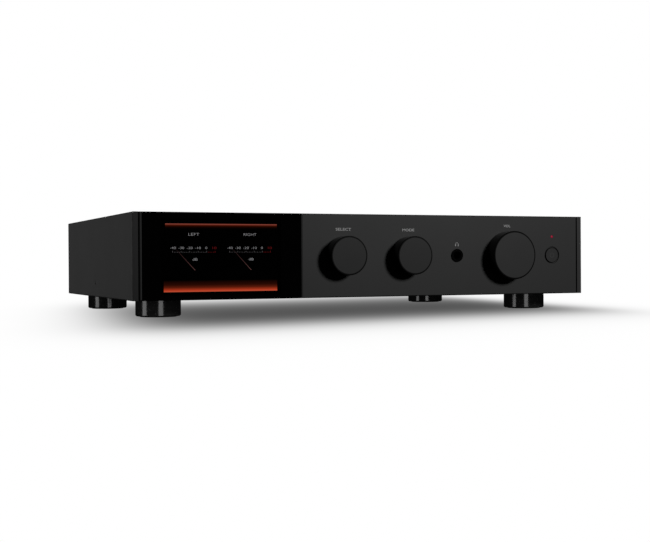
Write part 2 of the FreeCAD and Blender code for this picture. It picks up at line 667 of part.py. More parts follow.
def make_power_section():
    """The amplifier board with its reservoir capacitors, heatsinks and output transistors."""
    save("amplifier_board", board_solid(POWER_BOARD, BOARD_Z))
    cans = [capacitor(x, y, 15.0, 45.0) for x in (-30.0, 4.0) for y in (-96.0, -62.0, -28.0)]
    cans += [capacitor(x, y, 6.0, 25.0) for x in (92.0, 110.0, 128.0) for y in (-94.0, -48.0, -4.0)]
    save("reservoir_capacitors", cans)
    left_web, right_web = SINK_WEB_X
    save("heatsinks", [heatsink(left_web, -1), heatsink(right_web, 1)])
    step = (SINK_Y[1] - SINK_Y[0]) / TRANSISTOR_COUNT
    devices = []
    for n in range(TRANSISTOR_COUNT):
        y = SINK_Y[0] + step * (n + 0.5)
        devices.append(transistor(left_web + SINK_WEB_T, 1, y))
        devices.append(transistor(right_web, -1, y))
    save("output_transistors", devices)


def make_signal_boards():
    """The analogue input board with its relays, and the two decks of the digital board with their chips."""
    columns = [-50.0 + 30.0 * n for n in range(5)]
    relays = [block(x, x + 20.0, 66.0, 76.0, PARTS_Z, PARTS_Z + 11.0) for x in columns]
    chips = [block(x + 10.0, x + 20.0, 92.0, 96.0, PARTS_Z, PARTS_Z + 1.6) for x in columns]
    save("input_board", [board_solid(INPUT_BOARD, BOARD_Z)] + relays + chips)
    posts = [rod_z(x, y, PILLAR_R, PARTS_Z, UPPER_BOARD_Z) for x in (152.0, 207.0) for y in (89.0, 118.0)]
    decks = [board_solid(DIGITAL_BOARD, BOARD_Z), board_solid(UPPER_BOARD, UPPER_BOARD_Z)]
    converter = block(140.0, 152.0, 68.0, 80.0, PARTS_Z, PARTS_Z + 1.8)
    processor = block(166.0, 190.0, 66.0, 90.0, PARTS_Z, PARTS_Z + 2.4)
    save("digital_board", decks + posts + [converter, processor])


def make_wiring():
    """Mains, secondary and speaker leads, and the ribbon from the control board to the digital board."""
    mains_z = INLET_Z + 3.0
    mains_route = [(INLET_X, INLET_BACK - 5.2, mains_z), (INLET_X, 62.0, mains_z), (-160.0, 22.0, mains_z)]
    mains = wire_tube(mains_route, 2.5)
    lead_x = TRANSFORMER[0] + TRANSFORMER_R + 0.4
    secondary_route = [(lead_x, -44.0, 56.0), (-51.0, -44.0, 56.0), (-51.0, -44.0, PARTS_Z)]
    secondary = wire_tube(secondary_route, 2.0)
    speaker_route = [(-30.0, 30.0, PARTS_Z), (-30.0, 30.0, 60.0), (-96.0, 60.0, 60.0), (-96.0, 100.0, 52.0)]
    speaker = wire_tube(speaker_route, 2.5)
    board_back = BOARD_FRONT + BOARD_T
    ribbon = block(207.5, 208.7, board_back, 70.0, 40.0, 60.0)
    ribbon = ribbon.fuse(block(198.0, 208.7, board_back, board_back + 1.2, 40.0, 60.0))
    ribbon = ribbon.fuse(block(207.5, 208.7, 66.0, 70.0, PARTS_Z, 40.0))
    save("wiring", [mains, secondary, speaker, ribbon])


# ---------------------------------------------------------------- rear connectors

def make_rca():
    """Phono sockets: black bodies and collars, and the gold barrels the plugs push over."""
    bodies = []
    barrels = []
    for x in RCA_X:
        tower = block(x - 7.0, x + 7.0, PANEL_FRONT - 12.0, PANEL_FRONT, PARTS_Z, RCA_Z[1] + 7.0)
        for z in RCA_Z:
            start = BACK + RCA_COLLAR_T
            core = rod_y(x, z, RCA_BARREL_INNER_R, PANEL_FRONT, start + RCA_BARREL_LENGTH - 0.5)
            neck = rod_y(x, z, RCA_BARREL_R + 0.2, PANEL_FRONT, BACK)
            collar = rod_y(x, z, RCA_COLLAR_R, BACK, start)
            tower = tower.multiFuse([core, neck, collar])
            tower = tower.cut(rod_y(x, z, RCA_HOLE_R, BACK - 2.0, BACK + 20.0))
            barrels.append(ring_y(x, z, RCA_BARREL_INNER_R, RCA_BARREL_R, start, start + RCA_BARREL_LENGTH))
        bodies.append(tower)
    save("rca_sockets", bodies)
    save("rca_barrels", barrels)


def make_xlr():
    """Balanced sockets: a flanged shell with a three-hole insert, and a push tab that frees the plug."""
    half_x, half_z, thick = XLR_FLANGE
    shells = []
    for number, x in enumerate(XLR_X, 1):
        shell = rod_y(x, XLR_Z, XLR_BODY_R, BACK - 22.0, BACK)
        shell = shell.fuse(block_at(x, XLR_Z, half_x, half_z, BACK, BACK + thick))
        recess = ring_y(x, XLR_Z, XLR_INSERT_R, XLR_PLUG_R, BACK + thick - XLR_DEPTH, BACK + thick + 1)
        mouth = BACK + thick
        holes = [rod_y(x + dx, XLR_Z + dz, 1.3, mouth - 12.0, mouth + 1) for dx, dz in XLR_PINS]
        track = block(x - LATCH_HALF - 0.15, x + LATCH_HALF + 0.15, BACK - 10.0, mouth + 1,
                      LATCH_Z[0] - 0.15, LATCH_Z[1] + 0.15)
        shells.append(cut_all(shell, [recess]).cut(Part.makeCompound(holes)).cut(track))
        tab = block(x - LATCH_HALF, x + LATCH_HALF, BACK - 8.0, mouth + 1.8, LATCH_Z[0], LATCH_Z[1])
        save("xlr_latch_" + str(number), tab)
    save("xlr_sockets", shells)


def make_optical():
    """Optical sockets, each with a sprung shutter hung from a pin across the top of its mouth."""
    sockets = []
    for number, x in enumerate(OPTICAL_X, 1):
        case = block_at(x, OPTICAL_Z, 4.9, 5.0, BACK - 12.0, BACK + 0.8)
        case = case.fuse(block(x - 4.9, x + 4.9, BACK - 12.0, BACK - 6.5, PARTS_Z, OPTICAL_Z))
        mouth = block(x - 3.8, x + 3.8, BACK - 8.0, BACK + 2.0, OPTICAL_Z - 3.9, OPTICAL_Z + 4.2)
        pin_hole = rod_x(SHUTTER_PIN_Y, SHUTTER_PIN_Z, 0.5 + RUNNING, x - 4.5, x + 4.5)
        sockets.append(case.cut(mouth).cut(pin_hole))
        half = SHUTTER_T / 2
        flap = block(x - SHUTTER_HALF, x + SHUTTER_HALF, SHUTTER_PIN_Y - half, SHUTTER_PIN_Y + half,
                     OPTICAL_Z - 3.6, SHUTTER_PIN_Z + half)
        pin = rod_x(SHUTTER_PIN_Y, SHUTTER_PIN_Z, 0.5, x - 4.4, x + 4.4)
        save("optical_shutter_" + str(number), flap.fuse(pin))
    save("optical_sockets", sockets)


def metal_port(x, z, half_x, half_z, wall, depth, tongue):
    """A pressed metal port with a contact tongue inside."""
    front = BACK + 0.6
    shell = block_at(x, z, half_x, half_z, front - depth, front)
    hollow = block_at(x, z, half_x - wall, half_z - wall, front - depth + 1.0, front + 1)
    bar = block_at(x, z, tongue[0], tongue[1], front - depth + 0.5, front - 1.0)
    return shell.cut(hollow).fuse(bar)


def make_digital_ports():
    """The square data port, the wide video port and the threaded antenna socket."""
    usb = metal_port(*USB_PLACE, 6.0, 5.5, 0.5, 15.0, (2.8, 1.6))
    video = metal_port(*HDMI_PLACE, 7.6, 3.2, 0.5, 12.0, (5.0, 0.6))
    x, z = ANTENNA_PLACE
    antenna = rod_y(x, z, 3.1, PANEL_FRONT - 5.0, BACK + 8.5).fuse(hexagon_y(x, z, 4.6, BACK, BACK + 2.0))
    antenna = antenna.cut(rod_y(x, z, 2.2, BACK + 3.0, BACK + 10.0))
    antenna = antenna.fuse(rod_y(x, z, 0.6, BACK + 2.0, BACK + 7.0))
    save("digital_ports", [usb, video, antenna])


def make_trigger_jacks():
    """Two 3.5 mm control sockets."""
    jacks = []
    for x in TRIGGER_X:
        low = UPPER_BOARD_Z + BOARD_T
        case = block(x - 4.5, x + 4.5, PANEL_FRONT - 12.0, PANEL_FRONT, low, TRIGGER_Z + 5.0)
        nose = rod_y(x, TRIGGER_Z, 3.4, PANEL_FRONT, BACK + 1.2)
        jacks.append(case.fuse(nose).cut(rod_y(x, TRIGGER_Z, 1.8, PANEL_FRONT - 11.0, BACK + 2.0)))
    save("trigger_jacks", jacks)


def make_inlet():
    """Mains inlet: flange, recess for the plug, three blades, and the fuse drawer below."""
    x = INLET_X
    mouth = BACK + INLET_FLANGE_T
    body = block(x - INLET_HALF, x + INLET_HALF, INLET_BACK, BACK, INLET_LOW, INLET_HIGH)
    flange = INLET_HALF + 2.0
    body = body.fuse(block(x - flange, x + flange, BACK, mouth, INLET_LOW - 2.0, INLET_HIGH + 2.0))
    low, high = INLET_Z - 8.0, INLET_Z + 8.0
    outline = [(x - SOCKET_HALF, low), (x + SOCKET_HALF, low), (x + SOCKET_HALF, high - SOCKET_CORNER),
               (x + SOCKET_HALF - SOCKET_CORNER, high), (x - SOCKET_HALF + SOCKET_CORNER, high),
               (x - SOCKET_HALF, high - SOCKET_CORNER)]
    recess = prism_y(outline, mouth - SOCKET_DEPTH, mouth + 1)
    bay_half = [half + 0.2 for half in DRAWER_HALF]
    bay = block_at(x, DRAWER_Z, *bay_half, mouth - DRAWER_LENGTH - 0.3, mouth + 1)
    blades = []
    slits = []
    for dx, dz in ((-7.0, -1.0), (0.0, 3.0), (7.0, -1.0)):
        place = (x + dx, INLET_Z + dz)
        blades.append(block_at(*place, 1.0, 2.0, INLET_BACK - 5.0, mouth - 5.0))
        slits.append(block_at(*place, 1.0, 2.0, INLET_BACK - 1.0, mouth))
    save("mains_inlet", body.cut(recess).cut(bay).cut(Part.makeCompound(slits)))
    save("inlet_blades", blades)


def make_fuse_drawer():
    """The drawer under the mains plug, with the glass fuse lying in it."""
    mouth = BACK + INLET_FLANGE_T
    half_x, half_z = DRAWER_HALF
    tray = block_at(INLET_X, DRAWER_Z, half_x, half_z, mouth - DRAWER_LENGTH, mouth)
    well = block(INLET_X - 3.0, INLET_X + 3.0, mouth - 22.5, mouth - 2.0, DRAWER_Z - 2.6, DRAWER_Z + 4.0)
    lip = block_at(INLET_X, DRAWER_Z, half_x, half_z, mouth, mouth + 1.0)
    fuse = rod_y(INLET_X, DRAWER_Z - 0.1, FUSE_R, mouth - 22.5, mouth - 2.0)
    save("fuse_drawer", [tray.cut(well).fuse(lip), fuse])


def make_mains_switch():
    """The rocker switch: a frame set in the rear panel, and a rocker on a vertical pin."""
    half_x, half_z = SWITCH_HALF
    frame = block_at(INLET_X, ROCKER_Z, half_x, half_z, BACK - 13.0, BACK)
    frame = frame.fuse(block_at(INLET_X, ROCKER_Z, half_x + 1.4, half_z + 1.2, BACK, BACK + 2.0))
    frame = frame.cut(block_at(INLET_X, ROCKER_Z, 9.1, ROCKER_HALF[1] + 0.3, BACK - 11.0, BACK + 3.0))
    pin_low = ROCKER_Z - ROCKER_HALF[1] - 1.2
    pin_high = ROCKER_Z + ROCKER_HALF[1] + 1.2
    frame = frame.cut(rod_z(INLET_X, ROCKER_AXIS_Y, ROCKER_PIN_R + RUNNING, pin_low - 0.1, pin_high + 0.1))
    save("switch_frame", frame)
    outline = [(-8.2, 0.4), (-5.0, -3.0), (5.0, -3.0), (8.2, 0.4), (8.2, 3.6), (0.0, 2.4), (-8.2, 3.6)]
    points = [(INLET_X + u, ROCKER_AXIS_Y + v) for u, v in outline]
    rocker = prism_z(points, ROCKER_Z - ROCKER_HALF[1], ROCKER_Z + ROCKER_HALF[1])
    rocker = rocker.fuse(rod_z(INLET_X, ROCKER_AXIS_Y, ROCKER_PIN_R, pin_low, pin_high))
    rocker.rotate(FreeCAD.Vector(INLET_X, ROCKER_AXIS_Y, ROCKER_Z), FreeCAD.Vector(0, 0, 1), ROCKER_TILT)
    save("mains_rocker", rocker)


def post_cap(x):
    """A fluted binding-post cap, threaded onto its stud, open at the end for a 4 mm plug."""
    body = rod_y(x, POST_Z, POST_CAP_R, POST_CAP_FRONT, DEPTH / 2)
    rims = [edge for edge in body.Edges if edge.Closed and edge.CenterOfMass.y > DEPTH / 2 - 0.1]
    body = body.makeChamfer(0.8, rims)
    flutes = []
    for n in range(10):
        angle = 2 * math.pi * n / 10
        fx = x + (POST_CAP_R + 0.5) * math.cos(angle)
        fz = POST_Z + (POST_CAP_R + 0.5) * math.sin(angle)
        flutes.append(rod_y(fx, fz, 1.2, POST_CAP_FRONT + 2.0, DEPTH / 2 - 2.5))
    thread = rod_y(x, POST_Z, POST_STUD_R + RUNNING, POST_CAP_FRONT - 1, POST_STUD_END + 0.6)
    mouth = rod_y(x, POST_Z, POST_BORE_R + 0.4, POST_STUD_END, DEPTH / 2 + 1)
    return cut_all(body, flutes).cut(thread).cut(mouth)


def make_speaker_posts():
    """Four binding posts: insulated base, hollow stud, loose clamp washer and screw cap."""
    bases = []
    studs = []
    for number, x in enumerate(POST_X, 1):
        base = rod_y(x, POST_Z, 8.6, BACK, BACK + POST_BASE_T)
        boss = rod_y(x, POST_Z, 5.0, PANEL_FRONT, BACK)
        inner = rod_y(x, POST_Z, 7.5, PANEL_FRONT - 3.0, PANEL_FRONT)
        base = base.multiFuse([boss, inner])
        bases.append(base.cut(rod_y(x, POST_Z, POST_STUD_R, 0, BACK + 10.0)))
        stud = rod_y(x, POST_Z, POST_STUD_R, PANEL_FRONT - 12.0, POST_STUD_END)
        stud = stud.cut(rod_y(x, POST_Z, POST_BORE_R, POST_STUD_END - 15.0, POST_STUD_END + 1))
        lock_nut = hexagon_y(x, POST_Z, 5.6, PANEL_FRONT - 6.0, PANEL_FRONT - 3.0)
        studs.append(stud)
        studs.append(lock_nut.cut(rod_y(x, POST_Z, POST_STUD_R, 0, BACK)))
        washer_y = BACK + POST_BASE_T + 0.2
        washer = ring_y(x, POST_Z, POST_STUD_R + RUNNING, 6.4, washer_y, POST_CAP_FRONT - 0.2)
        save("post_washer_" + str(number), washer)
        save("post_cap_" + str(number), post_cap(x))
    save("post_bases", bases)
    save("post_studs", studs)


def make_ground_post():
    """The earth terminal for a record player: threaded stud, washer and knurled thumb nut."""
    x, z = GROUND_PLACE
    stud = rod_y(x, z, GROUND_STUD_R, PANEL_FRONT - 3.0, BACK + 16.0)
    bore = rod_y(x, z, GROUND_STUD_R, 0, BACK + 5)
    nut_inside = hexagon_y(x, z, 3.9, PANEL_FRONT - 2.5, PANEL_FRONT).cut(bore)
    nut_outside = hexagon_y(x, z, 3.9, BACK, BACK + 2.0).cut(bore)
    save("ground_stud", [stud, nut_inside, nut_outside])
    bore_r = GROUND_STUD_R + RUNNING
    save("ground_washer", ring_y(x, z, bore_r, 4.2, BACK + 2.3, BACK + 3.1))
    start = BACK + 3.4
    nut = rod_y(x, z, GROUND_NUT_R, start, start + GROUND_NUT_LENGTH)
    rims = [edge for edge in nut.Edges if edge.Closed]
    nut = nut.makeChamfer(0.4, rims)
    grooves = []
    for n in range(16):
        angle = 2 * math.pi * n / 16
        gx = x + (GROUND_NUT_R + 0.2) * math.cos(angle)
        gz = z + (GROUND_NUT_R + 0.2) * math.sin(angle)
        grooves.append(rod_y(gx, gz, 0.45, start + 1.0, start + GROUND_NUT_LENGTH - 1.0))
    save("ground_nut", cut_all(nut, grooves).cut(rod_y(x, z, bore_r, start - 1, start + 20)))


def main():
    os.makedirs("parts", exist_ok=True)
    make_fascia()
    make_side_panels()
    make_top_cover()
    make_base_pan()
    make_front_subframe()
    make_rear_panel()
    make_feet()
    make_case_screws()
    make_controls()
    make_standby()
    make_headphone_jack()
    make_control_board()
    make_display()
    make_transformer()
    make_power_section()
    make_signal_boards()
    make_wiring()
    make_rca()
    make_xlr()
    make_optical()
    make_digital_ports()
    make_trigger_jacks()
    make_inlet()
    make_fuse_drawer()
    make_mains_switch()
    make_speaker_posts()
    make_ground_post()


main()
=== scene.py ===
"""Looks of the integrated amplifier: the finish of every part, the lit display, the marks and the studio.

Metres. +X is to the right of someone facing the fascia, +Y points to the rear panel, +Z is up.
"""
import json
import math

import bpy
import numpy as np
from mathutils import Matrix, Vector


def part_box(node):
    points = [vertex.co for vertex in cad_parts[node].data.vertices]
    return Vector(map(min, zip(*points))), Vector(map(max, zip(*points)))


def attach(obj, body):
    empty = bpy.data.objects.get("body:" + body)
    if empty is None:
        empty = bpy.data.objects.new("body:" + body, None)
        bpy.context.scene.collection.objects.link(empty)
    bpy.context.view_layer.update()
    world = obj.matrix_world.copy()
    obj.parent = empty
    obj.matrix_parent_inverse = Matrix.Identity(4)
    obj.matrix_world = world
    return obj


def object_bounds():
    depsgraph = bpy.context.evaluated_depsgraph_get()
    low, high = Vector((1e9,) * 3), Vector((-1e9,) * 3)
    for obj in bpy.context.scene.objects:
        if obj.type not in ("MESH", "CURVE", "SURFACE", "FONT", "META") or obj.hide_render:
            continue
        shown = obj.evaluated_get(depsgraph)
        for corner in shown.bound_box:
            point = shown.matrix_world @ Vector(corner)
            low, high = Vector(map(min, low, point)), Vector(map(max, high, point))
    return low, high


MM = 0.001
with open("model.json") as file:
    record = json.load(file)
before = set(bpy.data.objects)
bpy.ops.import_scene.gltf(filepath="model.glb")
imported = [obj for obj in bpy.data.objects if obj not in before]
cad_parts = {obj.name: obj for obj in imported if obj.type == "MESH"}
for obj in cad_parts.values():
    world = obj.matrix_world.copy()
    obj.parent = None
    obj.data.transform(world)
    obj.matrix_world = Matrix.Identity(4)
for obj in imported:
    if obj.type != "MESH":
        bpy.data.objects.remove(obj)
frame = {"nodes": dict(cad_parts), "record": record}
cad_low, cad_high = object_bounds()

# ---------------------------------------------------------------- places taken from the frame

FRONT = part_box("fascia")[0].y
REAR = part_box("rear_panel")[1].y
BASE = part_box("fascia")[0].z
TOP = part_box("fascia")[1].z
GLASS_LOW, GLASS_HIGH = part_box("display_window")
PANEL_LOW, PANEL_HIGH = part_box("display_module")


def middle(node):
    low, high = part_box(node)
    return (low + high) / 2


KNOBS = ("select_knob", "mode_knob", "volume_knob")
# Widths of the near-black rims on the knobs and the button; their dark colour is painted shade
KNOB_BEVEL = 1.45 * MM
BUTTON_BEVEL = 0.45 * MM
PLATE_EDGE = 0.9 * MM  # width of the fascia's upper and lower edges, painted darker as shade, and of the side panels' front corners, painted paler as a highlight
GLASS_CLEAR = 0.7  # share of the display's light that the smoked glass lets through
INK_GAP = 0.03 * MM  # how far printed marks stand off their face


# ---------------------------------------------------------------- shader expressions

class Signal:
    """One socket of a material, so that maths on it reads as a Python expression."""

    def __init__(self, finish, socket):
        self.finish = finish
        self.socket = socket

    def maths(self, operation, *terms, clamp=False):
        settings = {"operation": operation, "use_clamp": clamp}
        return self.finish.node("ShaderNodeMath", settings, dict(enumerate(terms)))

    def __add__(self, other):
        return self.maths("ADD", self, other)

    def __radd__(self, other):
        return self.maths("ADD", other, self)

    def __sub__(self, other):
        return self.maths("SUBTRACT", self, other)

    def __rsub__(self, other):
        return self.maths("SUBTRACT", other, self)

    def __mul__(self, other):
        return self.maths("MULTIPLY", self, other)

    def __rmul__(self, other):
        return self.maths("MULTIPLY", other, self)

    def __truediv__(self, other):
        return self.maths("DIVIDE", self, other)

    def __rtruediv__(self, other):
        return self.maths("DIVIDE", other, self)

    def __pow__(self, other):
        return self.maths("POWER", self, other)

    def over(self, edge, width):
        """0 below an edge and 1 above it, with a straight ramp of the given width."""
        return self.maths("ADD", (self - edge) / width, 0.5, clamp=True)

    def sine(self):
        return self.maths("SINE", self)

    def fraction(self):
        return self.maths("FRACT", self)


class Finish:
    """One material and the nodes it is made of."""

    def __init__(self, name):
        self.material = bpy.data.materials.new(name)
        self.material.use_nodes = True
        self.tree = self.material.node_tree
        self.tree.nodes.clear()
        self.spot = self.node("ShaderNodeTexCoord", output="Object")

    def node(self, kind, settings=None, inputs=None, output=0):
        """A node: its settings, then the values or links of its sockets. Returns the asked output."""
        made = self.tree.nodes.new(kind)
        for key, value in (settings or {}).items():
            if key == "stops":
                ramp = made.color_ramp.elements
                while len(ramp) < len(value):
                    ramp.new(1.0)
                for stop, (position, colour) in zip(ramp, value):
                    stop.position = position
                    stop.color = colour
            else:
                setattr(made, key, value)
        for key, value in (inputs or {}).items():
            if isinstance(value, Signal):
                self.tree.links.new(value.socket, made.inputs[key])
            else:
                made.inputs[key].default_value = value
        return Signal(self, made.outputs[output])

    def axes(self, centre=(0, 0, 0), scale=(1, 1, 1)):
        """The x, y and z of each point from a centre, each times its scale."""
        moved = self.node("ShaderNodeVectorMath", {"operation": "SUBTRACT"}, {0: self.spot, 1: centre})
        mapped = self.node("ShaderNodeMapping", None, {"Vector": moved, "Scale": scale})
        split = self.node("ShaderNodeSeparateXYZ", None, {0: mapped})
        return [Signal(self, output) for output in split.socket.node.outputs]

    def noise(self, scale, detail=2.0, rough=0.5, stretch=None):
        """Soft cloud noise, with this many features to a metre. Stretch scales each axis first."""
        vector = self.spot
        if stretch:
            vector = self.node("ShaderNodeMapping", None, {"Vector": self.spot, "Scale": stretch})
        return self.node("ShaderNodeTexNoise", None,
                         {"Vector": vector, "Scale": scale, "Detail": detail, "Roughness": rough})

    def cells(self, scale, output="Distance"):
        """Irregular cells, this many to a metre: the distance from each one's seed, or its own colour."""
        return self.node("ShaderNodeTexVoronoi", None, {"Vector": self.spot, "Scale": scale}, output)

    def mix(self, share, first, second):
        """Two colours mixed."""
        return self.node("ShaderNodeMix", {"data_type": "RGBA"}, {0: share, 6: first, 7: second}, 2)

    def soft_edge(self, distance, softness):
        """0 far before an edge and 1 far after it: 1 / (1 + exp(-distance / softness))."""
        rise = distance * (-1 / softness)
        return 1 / (1 + rise.maths("EXPONENT", rise))

    def bump(self, height, depth, strength=1.0):
        return self.node("ShaderNodeBump", None, {"Height": height, "Distance": depth, "Strength": strength})

    def surface(self, **sockets):
        """The shader on the output. Socket names are written with underscores. Returns the material."""
        named = {key.replace("_", " "): value for key, value in sockets.items()}
        shader = self.node("ShaderNodeBsdfPrincipled", None, named)
        self.node_output(shader)
        return self.material

    def node_output(self, shader):
        end = self.tree.nodes.new("ShaderNodeOutputMaterial")
        self.tree.links.new(shader.socket, end.inputs[0])


def grey(level):
    return (level, level, level, 1.0)


def colour(red, green, blue):
    return (red, green, blue, 1.0)


def radius_of(x, z):
    """Distance from the middle in two axes."""
    return (x * x + z * z) ** 0.5


# ---------------------------------------------------------------- finishes

def blasted_black(name, tone, rough, beside_glass=False, corner=0):
    """Bead-blasted and black anodised metal: fine pits, faint clouds in the sheen. On the plate beside the
    glass, painted shade darkens the bevels beside the glass and the plate's upper and lower edges. A side
    panel's front corner is painted paler as a highlight: corner is 1 for the right panel and -1 for the left
    one."""
    f = Finish(name)
    pits = f.noise(2600.0, 2.0)
    clouds = f.noise(14.0, 3.0)
    speckle = f.noise(900.0, 1.0)
    shade = clouds * 0.16 + speckle * 0.10 + 0.86
    base = f.mix(shade * 0.5, grey(tone * 0.45), grey(tone * 1.55))
    sheen = (clouds - 0.5) * 0.06 + rough
    x, y, z = f.axes()
    if beside_glass:
        # Painted shade: darker bevels beside the glass and darker upper and lower edges of the plate
        left, right = GLASS_LOW.x, GLASS_HIGH.x
        bevel = x.over(right - 0.4 * MM, 0.2 * MM) * (1 - x.over(right + 1.3 * MM, 0.3 * MM))
        bevel = bevel.maths("MAXIMUM", bevel, 1 - x.over(left - 1.0 * MM, 0.3 * MM))
        shaded_rims = 1 - z.over(BASE + PLATE_EDGE, 0.4 * MM) * (1 - z.over(TOP - PLATE_EDGE, 0.4 * MM))
        dark = bevel.maths("MAXIMUM", bevel * 0.75, shaded_rims * 0.6)
        base = f.mix(dark, base, grey(tone * 0.2))
        sheen = (clouds - 0.5) * 0.05 + dark * 0.2 + rough
    if corner:
        # Painted highlight: the side panel's front corner is made paler where it catches the light
        outside = (x * corner).over(cad_high.x - PLATE_EDGE, 0.2 * MM)
        foremost = 1 - y.over(FRONT + PLATE_EDGE, 0.2 * MM)
        base = f.mix(outside * foremost, base, grey(tone * 5))
    return f.surface(Base_Color=base, Roughness=sheen, Normal=f.bump(pits + speckle * 0.6, 0.00002, 0.30))


def turned_knob(name, node, tone, bevel):
    """Knob: a fine turned face with faint rings and sheen. The rim and side are polished, and their
    near-black colour is also painted shade.
    """
    f = Finish(name)
    low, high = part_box(node)
    place = middle(node)
    x, y, z = f.axes((place.x, 0, place.z))
    away = radius_of(x, z)
    rings = (away * (2 * math.pi / (0.22 * MM))).sine()
    grain = f.noise(2400.0, 2.0)
    clouds = f.noise(40.0, 2.0)
    radius = (high.x - low.x) / 2
    # Painted shade: the rim and the side behind the face are made near black
    rim = away.maths("MAXIMUM", away.over(radius - bevel, 0.15 * MM), y.over(low.y + 0.12 * MM, 0.05 * MM))
    face = f.mix(clouds * 0.5 + grain * 0.2, grey(tone * 0.75), grey(tone * 1.35))
    return f.surface(Base_Color=f.mix(rim, face, grey(0.004)), Metallic=(1 - rim) * 0.35,
                     Roughness=f.node("ShaderNodeMix", None, {0: rim, 2: 0.52, 3: 0.2}),
                     Normal=f.bump(rings * 0.12 + grain, 0.00002, 0.25))


def window_glass():
    """Smoked glass over the display, and a black printed mask behind the rest of it."""
    f = Finish("smoked_glass")
    x, _, z = f.axes()
    inset = 1.5 * MM
    across = x.over(PANEL_LOW.x + inset, 0.3 * MM) * (1 - x.over(PANEL_HIGH.x - inset, 0.3 * MM))
    opening = across * z.over(PANEL_LOW.z + inset, 0.3 * MM) * (1 - z.over(PANEL_HIGH.z - inset, 0.3 * MM))
    dust = f.noise(260.0, 4.0, 0.7)
    smear = f.noise(9.0, 2.0)
    return f.surface(Base_Color=grey(0.0012), Roughness=smear * 0.03 + dust.over(0.72, 0.1) * 0.05 + 0.02,
                     Alpha=1 - opening * GLASS_CLEAR, IOR=1.45)


def display_panel():
    """The dark screen behind the glass, with a very fine grid."""
    f = Finish("display_screen")
    x, _, z = f.axes(scale=(9000.0, 1.0, 9000.0))
    dots = x.sine() * z.sine()
    return f.surface(Base_Color=f.mix(dots * 0.5 + 0.5, grey(0.0003), grey(0.0009)), Roughness=0.8,
                     Specular_IOR_Level=0.0)


def gloss_black(name, tone, rough):
    """Turned and lacquered black: a clear coat, fine lathe rings and a little dust."""
    f = Finish(name)
    dust = f.noise(700.0, 3.0, 0.7)
    waves = f.noise(60.0, 2.0)
    _, _, z = f.axes()
    rings = (z * (2 * math.pi / (0.5 * MM))).sine()
    return f.surface(Base_Color=f.mix(dust.over(0.66, 0.15), grey(tone), grey(tone * 4 + 0.01)),
                     Roughness=dust.over(0.6, 0.2) * 0.12 + rough, Coat_Weight=0.6, Coat_Roughness=0.12,
                     Normal=f.bump(waves * 0.5 + rings * 0.02, 0.00002, 0.06))


def rubber():
    """Matt dark rubber with a fine moulded grain."""
    f = Finish("foot_rubber")
    grain = f.noise(1800.0, 3.0, 0.7)
    return f.surface(Base_Color=f.mix(grain, grey(0.008), grey(0.022)), Roughness=0.8 + (grain - 0.5) * 0.2,
                     Normal=f.bump(grain, 0.00008, 0.5))


def moulded_black():
    """Moulded plastic: spark-eroded grain and a faint flow of gloss."""
    f = Finish("black_moulding")
    grain = f.noise(1500.0, 2.0, 0.6)
    flow = f.noise(25.0, 2.0)
    return f.surface(Base_Color=f.mix(grain, grey(0.0084), grey(0.0168)),
                     Roughness=(grain - 0.5) * 0.12 + (flow - 0.5) * 0.1 + 0.42,
                     Normal=f.bump(grain, 0.00004, 0.35))


def powder_coat():
    """Fine textured paint: small rounded bumps, slight clouds."""
    f = Finish("rear_paint")
    orange = f.noise(1300.0, 3.0, 0.6)
    clouds = f.noise(10.0, 3.0)
    return f.surface(Base_Color=f.mix(orange * 0.6 + clouds * 0.4, grey(0.0108), grey(0.027)),
                     Roughness=(orange - 0.5) * 0.16 + 0.52, Normal=f.bump(orange, 0.00006, 0.4))


def zinc_steel():
    """Galvanised sheet: angular spangles of slightly different sheen, rolling lines."""
    f = Finish("zinc_sheet")
    spangle = f.cells(170.0, output="Color")
    split = f.node("ShaderNodeSeparateColor", None, {0: spangle})
    rolled = f.noise(60.0, 3.0, 0.6, (40.0, 1.0, 40.0))
    sheet = f.mix(split * 0.6 + rolled * 0.4, colour(0.36, 0.38, 0.40), colour(0.66, 0.67, 0.68))
    return f.surface(Base_Color=sheet, Metallic=1.0, Roughness=split * 0.16 + rolled * 0.1 + 0.26,
                     Normal=f.bump(rolled + split * 0.4, 0.00003, 0.3))


def plated(name, tint):
    """Bright plated metal: fine turning lines, light scratches and duller clouds."""
    f = Finish(name)
    lines = f.noise(900.0, 2.0, 0.6, (1.0, 6.0, 1.0))
    clouds = f.noise(90.0, 3.0)
    dull = tuple(channel * 0.6 for channel in tint) + (1.0,)
    return f.surface(Base_Color=f.mix(clouds * 0.5 + lines * 0.3, dull, tint + (1.0,)), Metallic=1.0,
                     Roughness=clouds * 0.16 + lines * 0.08 + 0.2, Normal=f.bump(lines, 0.00002, 0.3))


def dark_screw():
    """Blackened steel with light worn edges round the drive and rim."""
    f = Finish("blackened_screw")
    grain = f.noise(1500.0, 2.0)
    wear = f.noise(420.0, 4.0, 0.7).over(0.62, 0.12)
    return f.surface(Base_Color=f.mix(wear, grey(0.018), grey(0.09)), Metallic=0.8,
                     Roughness=grain * 0.2 + 0.32, Normal=f.bump(grain, 0.00003, 0.35))


def circuit_board():
    """Green solder mask with copper tracks beneath it, pads, and fibre weave."""
    f = Finish("circuit_board")
    cell = f.node("ShaderNodeTexBrick", {"offset": 0.5},
                  {"Vector": f.spot, "Color1": grey(0.0), "Color2": grey(0.6), "Mortar": grey(1.0),
                   "Scale": 60.0, "Mortar Size": 0.07, "Mortar Smooth": 0.1})
    tracks = f.node("ShaderNodeSeparateColor", None, {0: cell})
    pads = 1 - f.cells(330.0).over(0.2, 0.05)
    weave = f.noise(1400.0, 2.0)
    mask = f.mix(tracks * 0.55 + weave * 0.2, colour(0.006, 0.05, 0.018), colour(0.03, 0.16, 0.05))
    return f.surface(Base_Color=f.mix(pads, mask, colour(0.62, 0.6, 0.52)), Metallic=pads * 0.8,
                     Roughness=pads * 0.08 + weave * 0.1 + 0.28, Normal=f.bump(tracks + pads, 0.00006, 0.4))


